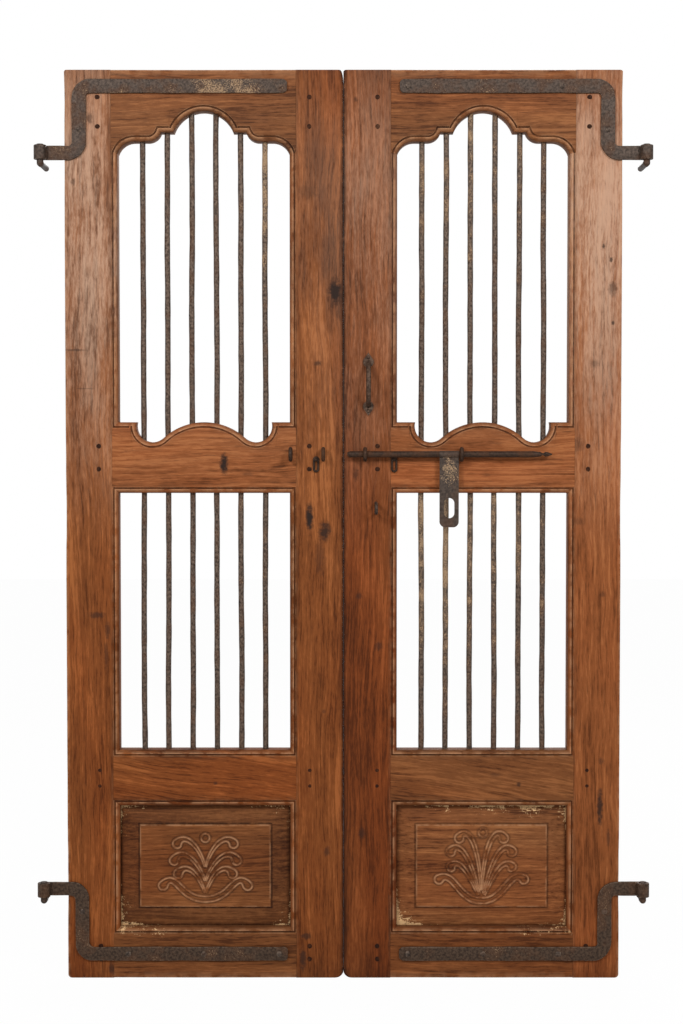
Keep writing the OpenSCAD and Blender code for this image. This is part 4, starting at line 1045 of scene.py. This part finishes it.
def strap_line():
    """Middle line from the rolled eye to the strap's end: places, the thickness direction and the width direction."""
    lead = bend_r + strap_w / 2
    post = eye_out + crank_x
    end_x = eye_out + strap_reach
    roll = np.radians(np.linspace(90 + EYE_ROLL, 90, EYE_STEPS))
    eye = np.stack([(eye_r + strap_t / 2) * np.cos(roll), eye_y + (eye_r + strap_t / 2) * np.sin(roll)], axis=1)
    stub = np.linspace(4 * MM, post - lead - 2 * MM, STUB_STEPS)
    rise = np.linspace(lead + 2 * MM, crank_h - lead - 2 * MM, STUB_STEPS)
    arm = np.linspace(post + lead + 4 * MM, end_x - end_r, ARM_STEPS)
    tip = end_x - end_r * (1 - np.sin(np.radians(np.linspace(0, 90, END_STEPS))))
    flat = np.vstack([
        np.stack([stub, 0 * stub], axis=1),
        arc((post - lead, lead), lead, -90, 0, BEND_STEPS),
        np.stack([0 * rise + post, rise], axis=1),
        arc((post + lead, crank_h - lead), lead, 180, 90, BEND_STEPS),
        np.stack([arm, 0 * arm + crank_h], axis=1),
        np.stack([tip, 0 * tip + crank_h], axis=1)[1:],
    ])
    way = np.gradient(flat, axis=0)
    way = way / np.linalg.norm(way, axis=1, keepdims=True)
    places = np.vstack([np.stack([eye[:, 0], eye[:, 1], 0 * eye[:, 0]], axis=1),
                        np.stack([flat[:, 0], np.full(len(flat), front - strap_t / 2), flat[:, 1]], axis=1)])
    thick = np.vstack([np.stack([np.cos(roll), np.sin(roll), 0 * roll], axis=1), np.tile((0, 1, 0), (len(flat), 1))])
    wide = np.vstack([np.tile((0, 0, 1), (len(eye), 1)), np.stack([-way[:, 1], 0 * way[:, 0], way[:, 0]], axis=1)])
    return places, thick, wide


def strap_surface(seed, wash):
    """A rounded rectangle on the middle line. Its edges waver, it narrows round its end as a quarter circle, and wash
    is left on its arm."""
    places, thick, wide = strap_line()
    to_end = eye_out + strap_reach - places[:, 0]
    draw_in = end_r - np.sqrt(np.maximum(end_r ** 2 - np.maximum(end_r - to_end, 0) ** 2, 0))
    draw_in[:EYE_STEPS] = 0
    number = np.arange(len(places))
    waver = 0.5 * MM * (ripple(number * 0.35, seed) - 1) * (number >= EYE_STEPS)
    half_w = strap_w / 2 - draw_in + waver
    quarter = np.repeat(np.arange(4), 4)
    corner = np.radians(np.tile(np.linspace(0, 90, 4), 4) + 90 * quarter)
    sign_w = np.sign(np.cos(np.radians(45 + 90 * quarter)))
    sign_t = np.sign(np.sin(np.radians(45 + 90 * quarter)))
    across = sign_w[:, None] * (half_w - edge_ease) + edge_ease * np.cos(corner)[:, None]
    through = (sign_t * (strap_t / 2 - edge_ease) + edge_ease * np.sin(corner))[:, None]
    grid = places + across[..., None] * wide + through[..., None] * thick
    worn = np.where(np.isin(np.arange(len(corner)) % 4, (1, 2)), 0.9, 0.15)[:, None]
    arm = np.exp(-((places[:, 0] - eye_out - 0.72 * strap_reach) / (0.2 * strap_reach)) ** 2)
    return surface(grid, worn, 0.0, 0.3 + wash * arm)


def from_eye(points, upper):
    """A strap drawn from its eye to the leaf's own drawing; the lower one is turned over."""
    points = np.array(points)
    points[..., 0] -= eye_out
    points[..., 2] = upper_arm - crank_h + points[..., 2] if upper else lower_arm + crank_h - points[..., 2]
    return points


for side in (LEFT, RIGHT):
    for upper, level in ((True, "upper_strap"), (False, "lower_strap")):
        node = f"{SIDE_NAME[side]}_{level}"
        part = strap_surface(50 + side + 2 * upper, 0.5 if upper and side == LEFT else 0.1)
        part["grid"] = on_leaf(from_eye(part["grid"], upper), side)
        finish = strap_iron if upper else foot_strap_iron
        make_piece(f"{node}_forged", [part], finish, BODY[side], "iron", node)
print("straps: 4")

# %% [markdown]
# ## Pegs and nail heads
# Pegs hold the tenons and show on both faces, a little proud. The straps are held by hand-made nails with low
# heads. A squashed sphere would do for both, but hand-cut rims aren't round, so each is a dome whose rim wavers in
# its own way.

# %% Pegs and nail heads
CROWN_END, CROWN_STEPS = 86, 6
sink = 3 * MM


def dome_surfaces(places, radius, height, seed, face=-1, wear=0.0, dirt_and_shade=0.0):
    """A low dome at each place: a round rim sunk in the wood and a crown that falls off as a quarter circle."""
    rise = np.radians(np.linspace(0, CROWN_END, CROWN_STEPS))
    r = np.concatenate([[radius], radius * np.cos(rise)])
    out = np.concatenate([[-sink], height * np.sin(rise)])
    angle = AROUND[:, None]
    parts = []
    for n, (x, y, z) in enumerate(places):
        uneven = 1 + 0.09 * ripple(np.cos(AROUND) * 3 + 5 * n, seed)[:, None]
        rim = r * uneven
        grid = np.stack([x + rim * np.cos(angle), np.broadcast_to(y + face * out, rim.shape),
                         z + rim * np.sin(angle)], axis=-1)
        parts.append(surface(grid, wear, dirt_and_shade))
    return parts


peg_in, tenon_inset, peg_r, peg_h = 28 * MM, 26 * MM, 5 * MM, 0.5 * MM
levels = [(0, panel_z), (lock_z, lower_z), (middle_z, upper_z), (spring_z, leaf_h)]
peg_levels = [low + tenon_inset + share * (high - low - 2 * tenon_inset)
              for low, high in levels for share in (0.25, 0.75)]
peg_places = [(x, z) for x in (shoulder_x - peg_in, leaf_w - shoulder_x + peg_in) for z in peg_levels]
nail_end, nail_r, nail_h = 18 * MM, 6.0 * MM, 2.3 * MM
nail_wear = np.array([0.0, 0.4, 1.0, 1.0, 0.5, 0.2, 0.2])
nail_x = [stile_w + nail_end, (stile_w + strap_reach) / 2, strap_reach - nail_end]
nail_places = [(x, z) for z in (upper_arm, lower_arm) for x in nail_x]
nail_places += [(crank_x, upper_arm - 0.65 * crank_h), (crank_x, lower_arm + 0.65 * crank_h)]
peg_timber = timber("peg timber", "dark", 5, UPRIGHT, 1.0)
for side in (LEFT, RIGHT):
    name = SIDE_NAME[side]
    pegs = dome_surfaces([(x, front, z) for x, z in peg_places], peg_r, peg_h, 3, dirt_and_shade=1.0)
    pegs += dome_surfaces([(x, back, z) for x, z in peg_places], peg_r, peg_h, 4, face=1, dirt_and_shade=1.0)
    nails = dome_surfaces([(x, front - strap_t, z) for x, z in nail_places], nail_r, nail_h, 8, wear=nail_wear)
    for part in pegs + nails:
        part["grid"] = on_leaf(part["grid"], side)
    make_piece(f"{name}_tenon_pegs_domed", pegs, peg_timber, BODY[side], "peg_timber", f"{name}_tenon_pegs")
    make_piece(f"{name}_strap_nails_domed", nails, strap_iron, BODY[side], "iron", f"{name}_strap_nails")
print("pegs:", 2 * len(peg_places), "strap nails:", 2 * len(nail_places))

# %% [markdown]
# ## Bolt, hasp and small ironwork
# The bolt, its rings, the links, the staple, the hasp and the pintles are plain round or flat pieces. They could be
# drawn anew, but their solids already have the right form, so they stay and get the iron finishes in their material
# slots.

# %% Finish the small ironwork
small_iron = {
    bolt_iron: ["slide_bolt", "left_bolt_rings", "right_bolt_rings", "left_drop_link", "right_drop_link"],
    hasp_iron: ["hasp"],
    strap_iron: ["lock_staple", "left_upper_pintle", "left_lower_pintle", "right_upper_pintle",
                 "right_lower_pintle"],
    handle_iron: ["pull_handle", "handle_nails"],
}
for finish, names in small_iron.items():
    for name in names:
        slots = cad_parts[name].data.materials
        slots.clear()
        slots.append(finish)
print("small ironwork:", sum(len(names) for names in small_iron.values()))

# %% [markdown]
# ## Studio
# The door stands on a pale floor in front of nothing. More light would make the ground white, but would wash out
# the door. So the floor and the sky are white only to the eye, to mirrors and to glass, and the light on the door
# stays plain.

# %% Floor and sky
def seen_directly(s):
    """One where a ray comes from the eye, a mirror or glass, and nought for light that falls on the door."""
    path = s.add("ShaderNodeLightPath").outputs
    both = s.math("MAXIMUM", path["Is Camera Ray"], path["Is Glossy Ray"])
    return s.math("MAXIMUM", both, path["Is Transmission Ray"])


def build_floor(reach, level, white_share):
    """One wide face at a level. To the eye it is mostly plain white, and the rest of it keeps the door's shadow."""
    mesh = bpy.data.meshes.new("floor")
    ways = ((-1, -1), (1, -1), (1, 1), (-1, 1))
    mesh.from_pydata([(reach * x, reach * y, level) for x, y in ways], [], [(0, 1, 2, 3)])
    floor = bpy.data.objects.new("floor", mesh)
    bpy.context.scene.collection.objects.link(floor)
    material, s, shader = new_finish("pale floor")
    shader.inputs["Base Color"].default_value = (0.90, 0.90, 0.89, 1)
    shader.inputs["Roughness"].default_value = 0.9
    glow = s.add("ShaderNodeEmission", {"Color": (1, 1, 1, 1), "Strength": 1.0}).outputs[0]
    share = s.math("MULTIPLY", seen_directly(s), white_share)
    both = s.add("ShaderNodeMixShader", {0: share, 1: shader.outputs[0], 2: glow})
    s.feed(material.node_tree.nodes["Material Output"].inputs["Surface"], both.outputs[0])
    mesh.materials.append(material)


def build_world(fill):
    """A white sky to the eye, which lights the door only by the fill."""
    world = bpy.data.worlds.new("studio")
    bpy.context.scene.world = world
    world.use_nodes = True
    s = Sheet(world.node_tree)
    sky = world.node_tree.nodes["Background"]
    sky.inputs["Color"].default_value = (1, 1, 1, 1)
    s.feed(sky.inputs["Strength"], s.math("MAXIMUM", seen_directly(s), fill))


build_floor(12.0, -0.5 * MM, 0.98)
build_world(0.24)
print("floor and sky ready")

# %% [markdown]
# Two large soft lamps stand left and right of the camera, so that mouldings and ironwork cast soft shadows both
# ways, and a third lights the back. A sun lamp would be simpler, but its hard shadows would cut the carving in two.

# %% Lamps
def add_lamp(name, place, target, size, power):
    """A square soft lamp at a place, turned to its target."""
    light = bpy.data.lights.new(name, "AREA")
    light.shape = "SQUARE"
    light.size = size
    light.energy = power
    lamp = bpy.data.objects.new(name, light)
    bpy.context.scene.collection.objects.link(lamp)
    aim_at(lamp, place, target)


def aim_at(thing, place, target):
    """Puts a lamp or camera at a place with its view along the line to its target."""
    thing.location = place
    way = Vector(target) - Vector(place)
    thing.rotation_euler = way.to_track_quat("-Z", "Y").to_euler()


chest = (0.0, 0.0, 1.0)
LAMPS = {
    "left softbox": ((-1.7, -3.0, 2.7), 0.9, 64),
    "right softbox": ((1.7, -3.0, 2.7), 0.9, 62),
    "back softbox": ((0.9, 3.4, 3.0), 1.2, 60),
}
for name, (place, size, power) in LAMPS.items():
    add_lamp(name, place, chest, size, power)
print("lamps:", len(LAMPS))

# %% [markdown]
# ## Camera
# The leaves are a little wider at the top of the picture than at the foot, so the camera stands slightly higher
# than the door's middle and looks down by about two degrees. The lens could be found by trial, but the picture's
# height and the leaves' height in it give it at once.

# %% Camera
PICTURE_H = 1024
LEAF_PIXELS = 909
PICTURE_CENTRE_UP = 15.5
eye_distance = 4.0
eye_drop = math.radians(2.0)
eye_x = -4 * MM

metres_per_pixel = leaf_h / LEAF_PIXELS
aim_z = leaf_h / 2 + PICTURE_CENTRE_UP * metres_per_pixel
camera_data = bpy.data.cameras.new("camera")
camera_data.sensor_fit = "VERTICAL"
camera_data.angle = 2 * math.atan(PICTURE_H * metres_per_pixel / 2 / eye_distance)
camera = bpy.data.objects.new("camera", camera_data)
bpy.context.scene.collection.objects.link(camera)
eye = (eye_x, front - eye_distance * math.cos(eye_drop), aim_z + eye_distance * math.sin(eye_drop))
aim_at(camera, eye, (eye_x, front, aim_z))
bpy.context.scene.camera = camera
bpy.context.scene.view_settings.view_transform = "Standard"
print("camera height:", round(eye[2], 3), "m")
